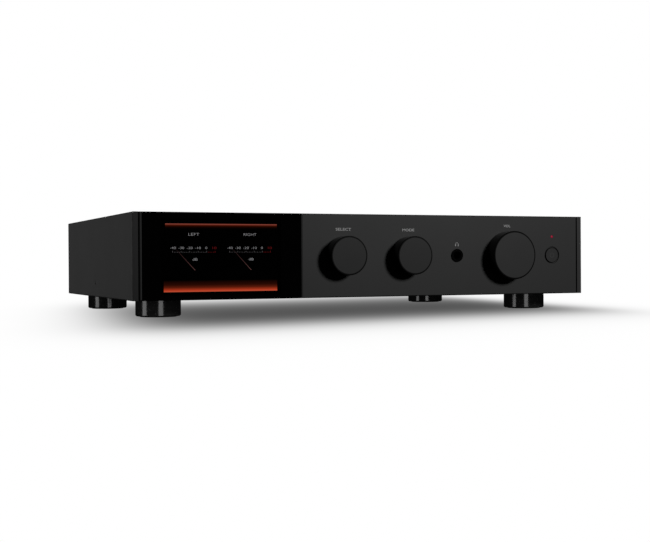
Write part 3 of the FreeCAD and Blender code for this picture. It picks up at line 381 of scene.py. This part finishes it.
def winding():
    """Transformer tape wound round the ring: radial overlaps of clear film over copper."""
    f = Finish("taped_winding")
    x, y, z = f.axes(middle("toroidal_transformer"))
    angle = x.maths("ARCTAN2", y, x)
    laps = (angle * 16.0 + z * 60.0).fraction()
    wires = (angle * 420.0).sine()
    tint = f.mix(laps, colour(0.50, 0.20, 0.055), colour(0.78, 0.42, 0.13))
    return f.surface(Base_Color=f.mix(wires * 0.25 + 0.25, tint, colour(0.28, 0.10, 0.03)), Metallic=0.35,
                     Roughness=laps * 0.15 + 0.22, Coat_Weight=0.5,
                     Normal=f.bump(laps + wires * 0.15, 0.0002, 0.5))


def capacitor_sleeve():
    """Shrunk sleeve with a paler stripe and a bright can top."""
    f = Finish("capacitor_sleeve")
    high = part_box("reservoir_capacitors")[1].z
    x, _, z = f.axes()
    top = z.over(high - 0.6 * MM, 0.2 * MM)
    shrink = f.noise(160.0, 3.0)
    stripe = (x * (1.0 / 0.030)).fraction().over(0.86, 0.02)
    sleeve = f.mix(stripe, colour(0.012, 0.016, 0.05), colour(0.42, 0.44, 0.47))
    return f.surface(Base_Color=f.mix(top, sleeve, colour(0.60, 0.61, 0.63)), Metallic=top,
                     Roughness=shrink * 0.15 + 0.24, Normal=f.bump(shrink, 0.00015, 0.35))


def heatsink():
    """Extruded and black anodised: long die lines."""
    f = Finish("extruded_heatsink")
    lines = f.noise(700.0, 2.0, 0.6, (1.0, 1.0, 0.02))
    return f.surface(Base_Color=f.mix(lines, grey(0.008), grey(0.03)), Metallic=0.4,
                     Roughness=lines * 0.2 + 0.36, Normal=f.bump(lines, 0.00005, 0.4))


def wire_sleeves():
    """Coloured wire insulation, a different colour along each run."""
    f = Finish("wire_sleeve")
    place = f.noise(11.0, 0.0)
    grain = f.noise(900.0, 2.0)
    tint = f.node("ShaderNodeValToRGB", {"stops": [
        (0.0, colour(0.45, 0.02, 0.015)), (0.42, colour(0.42, 0.02, 0.015)),
        (0.5, colour(0.015, 0.015, 0.017)), (0.58, colour(0.42, 0.32, 0.02)), (0.66, grey(0.4))]}, {0: place})
    return f.surface(Base_Color=f.mix(grain * 0.3, tint, grey(0.02)), Roughness=grain * 0.15 + 0.36,
                     Normal=f.bump(grain, 0.00003, 0.3))


def post_cap(name, tint):
    """Speaker terminal cap: black moulding with a coloured band round its outer end."""
    f = Finish(name)
    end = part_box("post_cap_1")[1].y
    _, y, _ = f.axes()
    band = y.over(end - 5.0 * MM, 0.15 * MM) * (1 - y.over(end - 2.2 * MM, 0.15 * MM))
    grain = f.noise(1300.0, 2.0)
    return f.surface(Base_Color=f.mix(band, grey(0.010), f.mix(grain * 0.4, tint, grey(0.02))),
                     Roughness=grain * 0.12 + 0.26, Normal=f.bump(grain, 0.00003, 0.3))


def phono_collar():
    """Socket mouldings: the upper row has white collars and the lower row red ones, on black bodies."""
    f = Finish("phono_moulding")
    _, y, z = f.axes()
    collar = y.over(REAR + 0.05 * MM, 0.05 * MM)
    upper = z.over(middle("rca_barrels").z, 0.2 * MM)
    grain = f.noise(1500.0, 2.0)
    pair = f.mix(upper, colour(0.32, 0.012, 0.010), colour(0.52, 0.52, 0.50))
    spots = f.mix(grain * 0.25, pair, grey(0.02))
    return f.surface(Base_Color=f.mix(collar, grey(0.012), spots), Roughness=grain * 0.12 + 0.3,
                     Normal=f.bump(grain, 0.00003, 0.3))


def lamp_lens():
    """Standby lamp: a small deep red lens, brightest in its middle."""
    f = Finish("lamp_lens")
    place = middle("standby_led")
    x, _, z = f.axes((place.x, 0, place.z))
    glow = 1 - radius_of(x, z).over(0.8 * MM, 1.2 * MM)
    ripple = f.noise(1200.0, 2.0)
    lens = f.mix(ripple, colour(0.08, 0.004, 0.008), colour(0.12, 0.006, 0.012))
    return f.surface(Base_Color=lens, Roughness=0.22,
                     Emission_Color=f.mix(glow, colour(0.10, 0.004, 0.014), colour(0.30, 0.010, 0.035)),
                     Emission_Strength=1.0)


def printed_ink(name, level):
    """Silk-screened ink with slightly broken edges."""
    f = Finish(name)
    grain = f.noise(1800.0, 3.0, 0.7)
    return f.surface(Base_Color=f.mix(grain, grey(level * 0.8), grey(level)),
                     Roughness=0.55 + (grain - 0.5) * 0.2)


def light_only(f, tint):
    """A surface that only gives off light of a tint."""
    return f.surface(Base_Color=grey(0.0), Roughness=0.6, Specular_IOR_Level=0.0, Emission_Color=tint,
                     Emission_Strength=1.0)


def glowing(name, tint):
    """A lit shape on the display, with the faint grain of its dots."""
    f = Finish(name)
    x, _, z = f.axes(scale=(14000.0, 1.0, 14000.0))
    dots = x.sine() * z.sine() * 0.12 + 0.5
    dim = tuple(channel * 0.6 for channel in tint[:3])
    return light_only(f, f.mix(dots, dim + (1.0,), tint))


def glowing_bar(name, low, high, stops):
    """A bar of light whose colour runs from its lower to its upper edge."""
    f = Finish(name)
    _, _, z = f.axes((0, 0, low))
    return light_only(f, f.node("ShaderNodeValToRGB", {"stops": stops}, {0: z / (high - low)}))


def fading_needle(name, low, high, dim, bright):
    """A meter needle, bright at its lower end and dim at its tip."""
    f = Finish(name)
    _, _, z = f.axes((0, 0, low))
    return light_only(f, f.mix(1 - z / (high - low), dim, bright))


# ---------------------------------------------------------------- mesh makers

def keep_mesh(name, points, faces, finish, body):
    """A new piece from an array of points and rows of corner numbers, riding on a body."""
    mesh = bpy.data.meshes.new(name)
    mesh.vertices.add(len(points))
    mesh.vertices.foreach_set("co", points.astype(np.float32).ravel())
    sides = faces.shape[1]
    mesh.loops.add(faces.size)
    mesh.loops.foreach_set("vertex_index", faces.astype(np.int32).ravel())
    mesh.polygons.add(len(faces))
    mesh.polygons.foreach_set("loop_start", np.arange(0, faces.size, sides, dtype=np.int32))
    mesh.polygons.foreach_set("loop_total", np.full(len(faces), sides, np.int32))
    mesh.polygons.foreach_set("use_smooth", np.zeros(len(faces), bool))
    mesh.update(calc_edges=True)
    mesh.validate()
    piece = bpy.data.objects.new(name, mesh)
    bpy.context.scene.collection.objects.link(piece)
    mesh.materials.append(finish)
    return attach(piece, body)


def front_quads(name, corners, y, finish, body="amplifier"):
    """Flat four-sided patches, all at one y. Corners is a stack of four (x, z) points each, and a patch faces
    the front where its points run anticlockwise as seen from there."""
    flat = np.asarray(corners, float).reshape(-1, 2)
    points = np.stack([flat[:, 0], np.full(len(flat), y), flat[:, 1]], axis=1)
    faces = np.arange(len(flat)).reshape(-1, 4)
    return keep_mesh(name, points, faces, finish, body)


def bars(spans):
    """Corners of upright rectangles from rows of (x0, x1, z0, z1)."""
    spans = np.asarray(spans, float).reshape(-1, 4)
    x0, x1, z0, z1 = spans.T
    return np.stack([np.stack(corner, 1) for corner in ((x0, z0), (x1, z0), (x1, z1), (x0, z1))], 1)


def thick_line(start, end, width_start, width_end):
    """Corners of one tapered line between two (x, z) points."""
    start, end = np.asarray(start, float), np.asarray(end, float)
    along = (end - start) / np.linalg.norm(end - start)
    side = np.array([-along[1], along[0]])
    return np.stack([start - side * width_start / 2, end - side * width_end / 2,
                     end + side * width_end / 2, start + side * width_start / 2])


def arc_ribbon(centre, radius, width, first, last, steps=24):
    """Corners of a curved ribbon: points at radius plus and minus half the width, at even angles."""
    angle = np.linspace(math.radians(first), math.radians(last), steps + 1)
    ring = np.stack([np.cos(angle), np.sin(angle)], 1)
    outer = np.asarray(centre) + ring * (radius + width / 2)
    inner = np.asarray(centre) + ring * (radius - width / 2)
    return np.stack([inner[:-1], outer[:-1], outer[1:], inner[1:]], 1)


def lettering(name, words, place, height, finish, y, width=None, weight=0.0, rear=False):
    """Words as a flat mesh: scaled to a cap height and, if given, a width, and centred on (x, z)."""
    curve = bpy.data.curves.new(name, "FONT")
    curve.body = words
    curve.align_x = "CENTER"
    curve.offset = weight
    curve.resolution_u = 4
    carrier = bpy.data.objects.new(name + "_curve", curve)
    bpy.context.scene.collection.objects.link(carrier)
    bpy.context.view_layer.update()
    mesh = bpy.data.meshes.new_from_object(carrier.evaluated_get(bpy.context.evaluated_depsgraph_get()))
    bpy.data.objects.remove(carrier)
    co = np.zeros(len(mesh.vertices) * 3, np.float32)
    mesh.vertices.foreach_get("co", co)
    co = co.reshape(-1, 3)
    low, high = co.min(0), co.max(0)
    scale_z = height / (high[1] - low[1])
    scale_x = width / (high[0] - low[0]) if width else scale_z
    across = (co[:, 0] - (low[0] + high[0]) / 2) * scale_x * (-1 if rear else 1)
    up = (co[:, 1] - (low[1] + high[1]) / 2) * scale_z
    points = np.stack([place[0] + across, np.full(len(co), y), place[1] + up], axis=1)
    mesh.vertices.foreach_set("co", points.astype(np.float32).ravel())
    mesh.update()
    mesh.name = name
    mesh.materials.clear()
    mesh.materials.append(finish)
    piece = bpy.data.objects.new(name, mesh)
    bpy.context.scene.collection.objects.link(piece)
    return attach(piece, "amplifier")


# ---------------------------------------------------------------- finishes put on the parts

by_slot = {
    "fascia_black": blasted_black("fascia_anodised", 0.030, 0.56, beside_glass=True),
    "case_black": blasted_black("case_anodised", 0.020, 0.46),
    "window_glass": window_glass(),
    "display_panel": display_panel(),
    "foot_gloss": gloss_black("foot_lacquer", 0.030, 0.13),
    "foot_rubber": rubber(),
    "screw_black": dark_screw(),
    "zinc_steel": zinc_steel(),
    "panel_black": powder_coat(),
    "black_plastic": moulded_black(),
    "lamp_red": lamp_lens(),
    "circuit_board": circuit_board(),
    "winding": winding(),
    "capacitor_sleeve": capacitor_sleeve(),
    "heatsink_black": heatsink(),
    "gold": plated("gold_plate", (0.88, 0.62, 0.24)),
    "nickel": plated("nickel_plate", (0.68, 0.66, 0.62)),
    "wire_sleeve": wire_sleeves(),
    "post_cap_plastic": post_cap("cap_red_band", colour(0.40, 0.012, 0.010)),
}
black_banded = post_cap("cap_black_band", colour(0.03, 0.03, 0.032))
by_node = {
    "rca_sockets": phono_collar(),
    "post_cap_2": black_banded,
    "post_cap_4": black_banded,
    "standby_button": turned_knob("button_turned", "standby_button", 0.034, BUTTON_BEVEL),
    # Painted shade and light: both side panels are one anodised finish, the left painted darker and the right
    # lighter for how each is lit
    "side_panel_left": blasted_black("left_panel_anodised_painted_shade", 0.0105, 0.50, corner=-1),
    "side_panel_right": blasted_black("right_panel_anodised_painted_light", 0.038, 0.50, corner=1),
    "headphone_jack": gloss_black("jack_lacquer", 0.002, 0.10),
    # Painted shade: the select and mode knobs are the volume knob's finish in a darker tone, for how they are
    # lit
    "select_knob": turned_knob("select_knob_turned_painted_shade", "select_knob", 0.021, KNOB_BEVEL),
    "mode_knob": turned_knob("mode_knob_turned_painted_shade", "mode_knob", 0.021, KNOB_BEVEL),
    "volume_knob": turned_knob("volume_knob_turned", "volume_knob", 0.034, KNOB_BEVEL),
}
for node, part in frame["nodes"].items():
    slot_name = part.material_slots[0].material.name.split(".")[0]
    chosen = by_node.get(node) or by_slot[slot_name]
    for holder in part.material_slots:
        holder.material = chosen


# ---------------------------------------------------------------- marks on the fascia

ink = printed_ink("white_ink", 0.85)
PRINT_Y = FRONT - INK_GAP
FASCIA_CAPS = 2.4 * MM
# Piece, word and knob, then millimetres: right of the knob's middle, above the fascia's foot, and wide
FASCIA_WORDS = [
    ("print_select", "SELECT", "select_knob", 0.3, 60.7, 15.0),
    ("print_mode", "MODE", "mode_knob", -0.1, 60.4, 12.1),
    ("print_volume", "VOL", "volume_knob", -0.1, 64.8, 7.4)]
for name, word, knob, aside, up, wide in FASCIA_WORDS:
    place = (middle(knob).x + aside * MM, BASE + up * MM)
    lettering(name, word, place, FASCIA_CAPS, ink, PRINT_Y, wide * MM, 0.014)


def headphone_mark(x, z):
    """A small headphone symbol: a band over two ear pads."""
    band = arc_ribbon((x, z), 1.45 * MM, 0.36 * MM, -5, 185, 20)
    pads = bars([(x - 1.8 * MM, x - 1.0 * MM, z - 1.7 * MM, z + 0.1 * MM),
                 (x + 1.0 * MM, x + 1.8 * MM, z - 1.7 * MM, z + 0.1 * MM)])
    return np.concatenate([band, pads])


headphones = headphone_mark(middle("headphone_jack").x, BASE + 47.4 * MM)
front_quads("print_headphones", headphones, PRINT_Y, ink)


def power_mark(x, z):
    """A faint power symbol: a ring open at its top, and a stroke through the gap."""
    ring = arc_ribbon((x, z), 2.1 * MM, 0.4 * MM, 125, 415, 40)
    stroke = bars([(x - 0.2 * MM, x + 0.2 * MM, z + 0.4 * MM, z + 2.6 * MM)])
    return np.concatenate([ring, stroke])


button = middle("standby_button")
button_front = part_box("standby_button")[0].y - INK_GAP
front_quads("print_power", power_mark(button.x, button.z), button_front, printed_ink("faint_ink", 0.09),
            "standby_button")

# ---------------------------------------------------------------- marks on the rear panel

rear_ink = printed_ink("rear_ink", 0.55)
REAR_Y = REAR + INK_GAP


def right_of_middle(node):
    """How far right of the middle a part is, in millimetres."""
    return middle(node).x / MM


mount_places = {mount["name"]: mount["pos_m"] for mount in frame["record"]["mounts"]}
columns = [mount_places["phono_%d_upper" % number][0] / MM for number in range(7, 0, -1)]
caps = [right_of_middle("post_cap_%d" % number) for number in range(1, 5)]
between_columns = (columns[0] + columns[1]) / 2
trigger = right_of_middle("trigger_jacks")
# Word, then millimetres: right of the middle, above the ground, and cap height
rear_words = [(word, x, 75.6, 2.4 if word.isdigit() else 2.2)
              for word, x in zip(("PHONO", "1", "2", "3", "4", "REC", "OUT"), columns)]
rear_words += [
    ("L", between_columns, 66, 2.6), ("R", between_columns, 48, 2.6),
    ("R", right_of_middle("xlr_latch_1"), 71, 2.6), ("L", right_of_middle("xlr_latch_2"), 71, 2.6),
    ("OPT 1", right_of_middle("optical_shutter_1"), 43.6, 1.7),
    ("OPT 2", right_of_middle("optical_shutter_2"), 43.6, 1.7),
    ("DATA", 191, 43.6, 1.7), ("DIGITAL", 164, 65.6, 2.0),
    ("IN", trigger - 7, 66.6, 1.9), ("OUT", trigger + 7, 66.6, 1.9),
    ("GND", right_of_middle("ground_nut"), 21.2, 2.0),
    ("+", caps[0], 56.6, 2.2), ("+", caps[2], 56.6, 2.2),
    ("L", (caps[2] + caps[3]) / 2, 62.5, 2.6), ("R", (caps[0] + caps[1]) / 2, 62.5, 2.6),
    ("SPEAKERS", right_of_middle("post_bases"), 68.5, 2.2),
    ("INPUTS", (columns[1] + columns[5]) / 2, 81.0, 2.2),
    ("BALANCED", right_of_middle("xlr_sockets"), 76.6, 2.2)]
for number, (words, x, z, tall) in enumerate(rear_words):
    lettering("print_rear_%02d" % number, words, (x * MM, z * MM), tall * MM, rear_ink, REAR_Y, rear=True)
minus = [((x + 1.1) * MM, (x - 1.1) * MM, 56.4 * MM, 56.8 * MM) for x in (caps[1], caps[3])]
front_quads("print_rear_minus", bars(minus), REAR_Y, rear_ink)

# ---------------------------------------------------------------- the lit display

LIT_Y = PANEL_LOW.y - 0.10 * MM
BARS_RIGHT = GLASS_LOW.x + 120.3 * MM
METER_SPAN = 37.3 * MM
METERS = [("left", GLASS_LOW.x + 26.9 * MM, "LEFT", 9.5 * MM),
          ("right", GLASS_LOW.x + 77.0 * MM, "RIGHT", 11.6 * MM)]
METER_NUMBERS = ("-40", "-30", "-20", "-10", "0", "10")
NUMBER_WIDTHS = {1: 1.6 * MM, 2: 3.4 * MM, 3: 4.9 * MM}  # by the count of characters
SCALE_TICKS = 25
SCALE_ZERO = 0.83  # share of the scale's length where its red part starts


def lit(red, green, blue):
    """Levels as a screen states them, 0 to 255, as linear light that has yet to pass the smoked glass."""
    level = [channel / 255 for channel in (red, green, blue)]
    linear = [c / 12.92 if c <= 0.04045 else ((c + 0.055) / 1.055) ** 2.4 for c in level]
    return tuple(c / GLASS_CLEAR for c in linear) + (1.0,)


white_glow = glowing("scale_white", lit(150, 150, 152))
dim_white = glowing("scale_dim_white", lit(88, 86, 87))
red_glow = glowing("scale_red", lit(112, 26, 28))


def light_bar(name, finish, inset, foot, head, stops):
    """One of the two bars of light on the display, from its inset in the glass to their common right end."""
    low, high = BASE + foot, BASE + head
    span = (GLASS_LOW.x + inset, BARS_RIGHT, low, high)
    front_quads(name, bars([span]), LIT_Y, glowing_bar(finish, low, high, stops))


light_bar("display_upper_bar", "upper_light_bar", 20.7 * MM, 60.2 * MM, 64.7 * MM, [
    (0.0, lit(0, 0, 0)), (0.3, lit(10, 1, 0)), (0.55, lit(34, 7, 0)),
    (0.76, lit(80, 24, 12)), (0.93, lit(132, 64, 52))])
light_bar("display_lower_bar", "lower_light_bar", 19.2 * MM, 7.0 * MM, 16.7 * MM, [
    (0.0, lit(178, 78, 54)), (0.08, lit(186, 66, 40)), (0.2, lit(150, 46, 22)),
    (0.38, lit(84, 25, 11)), (0.6, lit(40, 10, 3)), (1.0, lit(2, 1, 0))])


def meter_scale(side, start):
    """A dotted line of short ticks with a tall one at each fifth, white up to zero and red beyond it."""
    low = BASE + 40.3 * MM
    white_ticks, red_ticks = [], []
    for step in range(SCALE_TICKS + 1):
        x = start + METER_SPAN * step / SCALE_TICKS
        tall, half = (1.3 * MM, 0.16 * MM) if step % 5 == 0 else (0.5 * MM, 0.2 * MM)
        ticks = white_ticks if x <= start + METER_SPAN * SCALE_ZERO else red_ticks
        ticks.append((x - half, x + half, low, low + tall))
    front_quads("meter_scale_" + side, bars(white_ticks), LIT_Y, dim_white)
    front_quads("meter_scale_red_" + side, bars(red_ticks), LIT_Y, red_glow)


def meter_needle(side, start):
    """The needle: a line from under the unit up to the lower end of the scale."""
    tip = (start + 3.0 * MM, BASE + 43.0 * MM)
    root = (start + 19.6 * MM, BASE + 25.2 * MM)
    finish = fading_needle("needle_light_" + side, root[1], tip[1], lit(30, 20, 20), lit(84, 56, 54))
    front_quads("meter_needle_" + side, thick_line(root, tip, 0.5 * MM, 0.3 * MM), LIT_Y - 0.02 * MM, finish)


for side, start, word, word_width in METERS:
    centre = start + METER_SPAN / 2
    lettering("meter_name_" + side, word, (centre, BASE + 55.7 * MM), 2.2 * MM, white_glow, LIT_Y,
              word_width, -0.014)
    meter_scale(side, start)
    for step, number in enumerate(METER_NUMBERS):
        place = (start + METER_SPAN * (0.01 + 0.195 * step), BASE + 44.2 * MM)
        tint = red_glow if number == "10" else white_glow
        lettering("meter_number_%s_%d" % (side, step), number, place, 1.9 * MM, tint, LIT_Y,
                  NUMBER_WIDTHS[len(number)], -0.012)
    lettering("meter_unit_" + side, "dB", (centre + 0.9 * MM, BASE + 34.5 * MM), 2.1 * MM, white_glow, LIT_Y,
              4.4 * MM, -0.012)
    meter_needle(side, start)


# ---------------------------------------------------------------- studio

def light_group(name, objects, included):
    """Objects that a light is linked to, or kept from."""
    group = bpy.data.collections.new(name)
    for thing in objects:
        group.objects.link(thing)
    for link in group.collection_objects:
        link.light_linking.link_state = "INCLUDE" if included else "EXCLUDE"
    return group


def softbox(name, place, aim, size, power, group, wide=None):
    """An area light aimed at a point, for one group: round, or a rectangle where it has a second side."""
    light = bpy.data.lights.new(name, "AREA")
    light.shape = "RECTANGLE" if wide else "DISK"
    light.size = size
    if wide:
        light.size_y = wide
    light.energy = power
    holder = bpy.data.objects.new(name, light)
    bpy.context.scene.collection.objects.link(holder)
    holder.location = place
    holder.rotation_euler = (Vector(aim) - Vector(place)).to_track_quat("-Z", "Y").to_euler()
    holder.visible_camera = False
    holder.light_linking.receiver_collection = group


FLOOR_REACH = 6.0
SHADE_DEPTH = 0.9264  # how much of the floor's light the middle of the shade takes away
SIDE_SLANT, FRONT_SLANT = 0.155, 0.246  # how far the shade's edges lean, in metres to a metre
# Each edge of the shade: how far it is from the middle, and its softness
LEFT_EDGE, RIGHT_EDGE = (0.217, 0.020), (0.260, 0.0195)
FRONT_EDGE, REAR_EDGE = (0.260, 0.041), (0.251, 0.076)


def make_floor():
    """A pale floor that gives off its own even light, with a painted soft shadow under and before the object
    like the shade that a light tent leaves. The painted shadow is the product of its four soft edges."""
    f = Finish("studio_floor")
    x, y, _ = f.axes()
    across = x - y * SIDE_SLANT
    along = y - x * FRONT_SLANT
    shade = (f.soft_edge(across + LEFT_EDGE[0], LEFT_EDGE[1])
             * f.soft_edge(RIGHT_EDGE[0] - across, RIGHT_EDGE[1])
             * f.soft_edge(along + FRONT_EDGE[0], FRONT_EDGE[1])
             * f.soft_edge(REAR_EDGE[0] - along, REAR_EDGE[1]))
    paint = f.mix(shade * SHADE_DEPTH, grey(1.0), grey(0.0))
    f.node_output(f.node("ShaderNodeEmission", None, {"Color": paint}))
    f.material.cycles.emission_sampling = "NONE"
    reach = FLOOR_REACH
    corners = [(-reach, -reach, 0), (reach, -reach, 0), (reach, reach, 0), (-reach, reach, 0)]
    mesh = bpy.data.meshes.new("floor")
    mesh.from_pydata(corners, [], [(0, 1, 2, 3)])
    mesh.materials.append(f.material)
    floor = bpy.data.objects.new("floor", mesh)
    bpy.context.scene.collection.objects.link(floor)
    floor.visible_diffuse = False
    floor.visible_glossy = False
    floor.visible_shadow = False
    return floor


def make_world():
    """White where the camera sees it, and nearly dark for everything that it would light."""
    world = bpy.data.worlds.new("studio_white")
    bpy.context.scene.world = world
    world.use_nodes = True
    tree = world.node_tree
    tree.nodes.clear()
    path = tree.nodes.new("ShaderNodeLightPath")
    seen = tree.nodes.new("ShaderNodeBackground")
    seen.inputs[0].default_value = grey(1.0)
    dark = tree.nodes.new("ShaderNodeBackground")
    dark.inputs[0].default_value = grey(0.004)
    blend = tree.nodes.new("ShaderNodeMixShader")
    end = tree.nodes.new("ShaderNodeOutputWorld")
    tree.links.new(path.outputs["Is Camera Ray"], blend.inputs[0])
    tree.links.new(dark.outputs[0], blend.inputs[1])
    tree.links.new(seen.outputs[0], blend.inputs[2])
    tree.links.new(blend.outputs[0], end.inputs[0])


CAMERA_PLACE = (-0.4366, -1.0800, 0.0461)
HEADING, DIP, ROLL = 0.399, -0.007, -0.006  # radians


def make_camera():
    """The camera, left of the object and low. Heading is measured from +Y towards +X."""
    level = math.cos(DIP)
    forward = Vector((math.sin(HEADING) * level, math.cos(HEADING) * level, math.sin(DIP)))
    right = forward.cross(Vector((0, 0, 1))).normalized()
    up = right.cross(forward)
    rolled_right = right * math.cos(ROLL) + up * math.sin(ROLL)
    rolled_up = up * math.cos(ROLL) - right * math.sin(ROLL)
    lens = bpy.data.cameras.new("camera")
    lens.lens = 63.01
    lens.sensor_width = 36.0
    lens.shift_x = -0.00735
    lens.clip_start, lens.clip_end = 0.01, 50.0
    camera = bpy.data.objects.new("camera", lens)
    bpy.context.scene.collection.objects.link(camera)
    turn = Matrix((rolled_right, rolled_up, -forward)).transposed().to_4x4()
    camera.matrix_world = Matrix.Translation(CAMERA_PLACE) @ turn
    bpy.context.scene.camera = camera


floor = make_floor()
make_world()
make_camera()
parts = frame["nodes"]
key_lit = light_group("key_lit", [floor, parts["top_cover"]], False)
skipped_parts = [parts[node] for node in (*KNOBS, "feet", "foot_pads", "display_window")]
case_lit = light_group("case_lit", [floor] + skipped_parts, False)
left_lit = light_group("left_lit", [parts["side_panel_left"]], True)
feet_lit = light_group("feet_lit", [parts["feet"]], True)

FACE = (0.06, FRONT, 0.055)
UNDER_FRONT = (0, FRONT + 50 * MM, 0.01)
softbox("key", (0.566, FRONT - 1.11, 0.50), FACE, 0.25, 5.2, key_lit)
softbox("left_panel", (-0.85, 2.6, 0.12), (-0.22, 0.05, 0.05), 0.7, 0.62, case_lit, 0.9)
softbox("top_panel", (0.0, 0.55, 1.5), (0.0, 0.1, 0.09), 1.3, 12.0, case_lit, 0.9)
softbox("right_panel", (1.3, 0.6, 0.5), (0.22, 0.0, 0.05), 0.8, 8.0, case_lit, 0.6)
softbox("rear_panel_light", (0.5, 1.6, 0.8), (0.0, 0.15, 0.05), 0.9, 26.0, case_lit, 0.6)
softbox("left_fill", (-1.8, 0.4, 0.7), (-0.222, 0.0, 0.05), 0.9, 9.0, left_lit, 0.9)
softbox("foot_strip_front", (-0.20, -1.28, 0.03), UNDER_FRONT, 0.46, 1.2, feet_lit, 0.5)
softbox("foot_strip_side", (-1.30, -0.16, 0.03), UNDER_FRONT, 0.46, 1.15, feet_lit, 0.5)

settings = bpy.context.scene.view_settings
settings.view_transform = "Standard"
settings.look = "None"
settings.exposure = 0.0
settings.gamma = 1.0
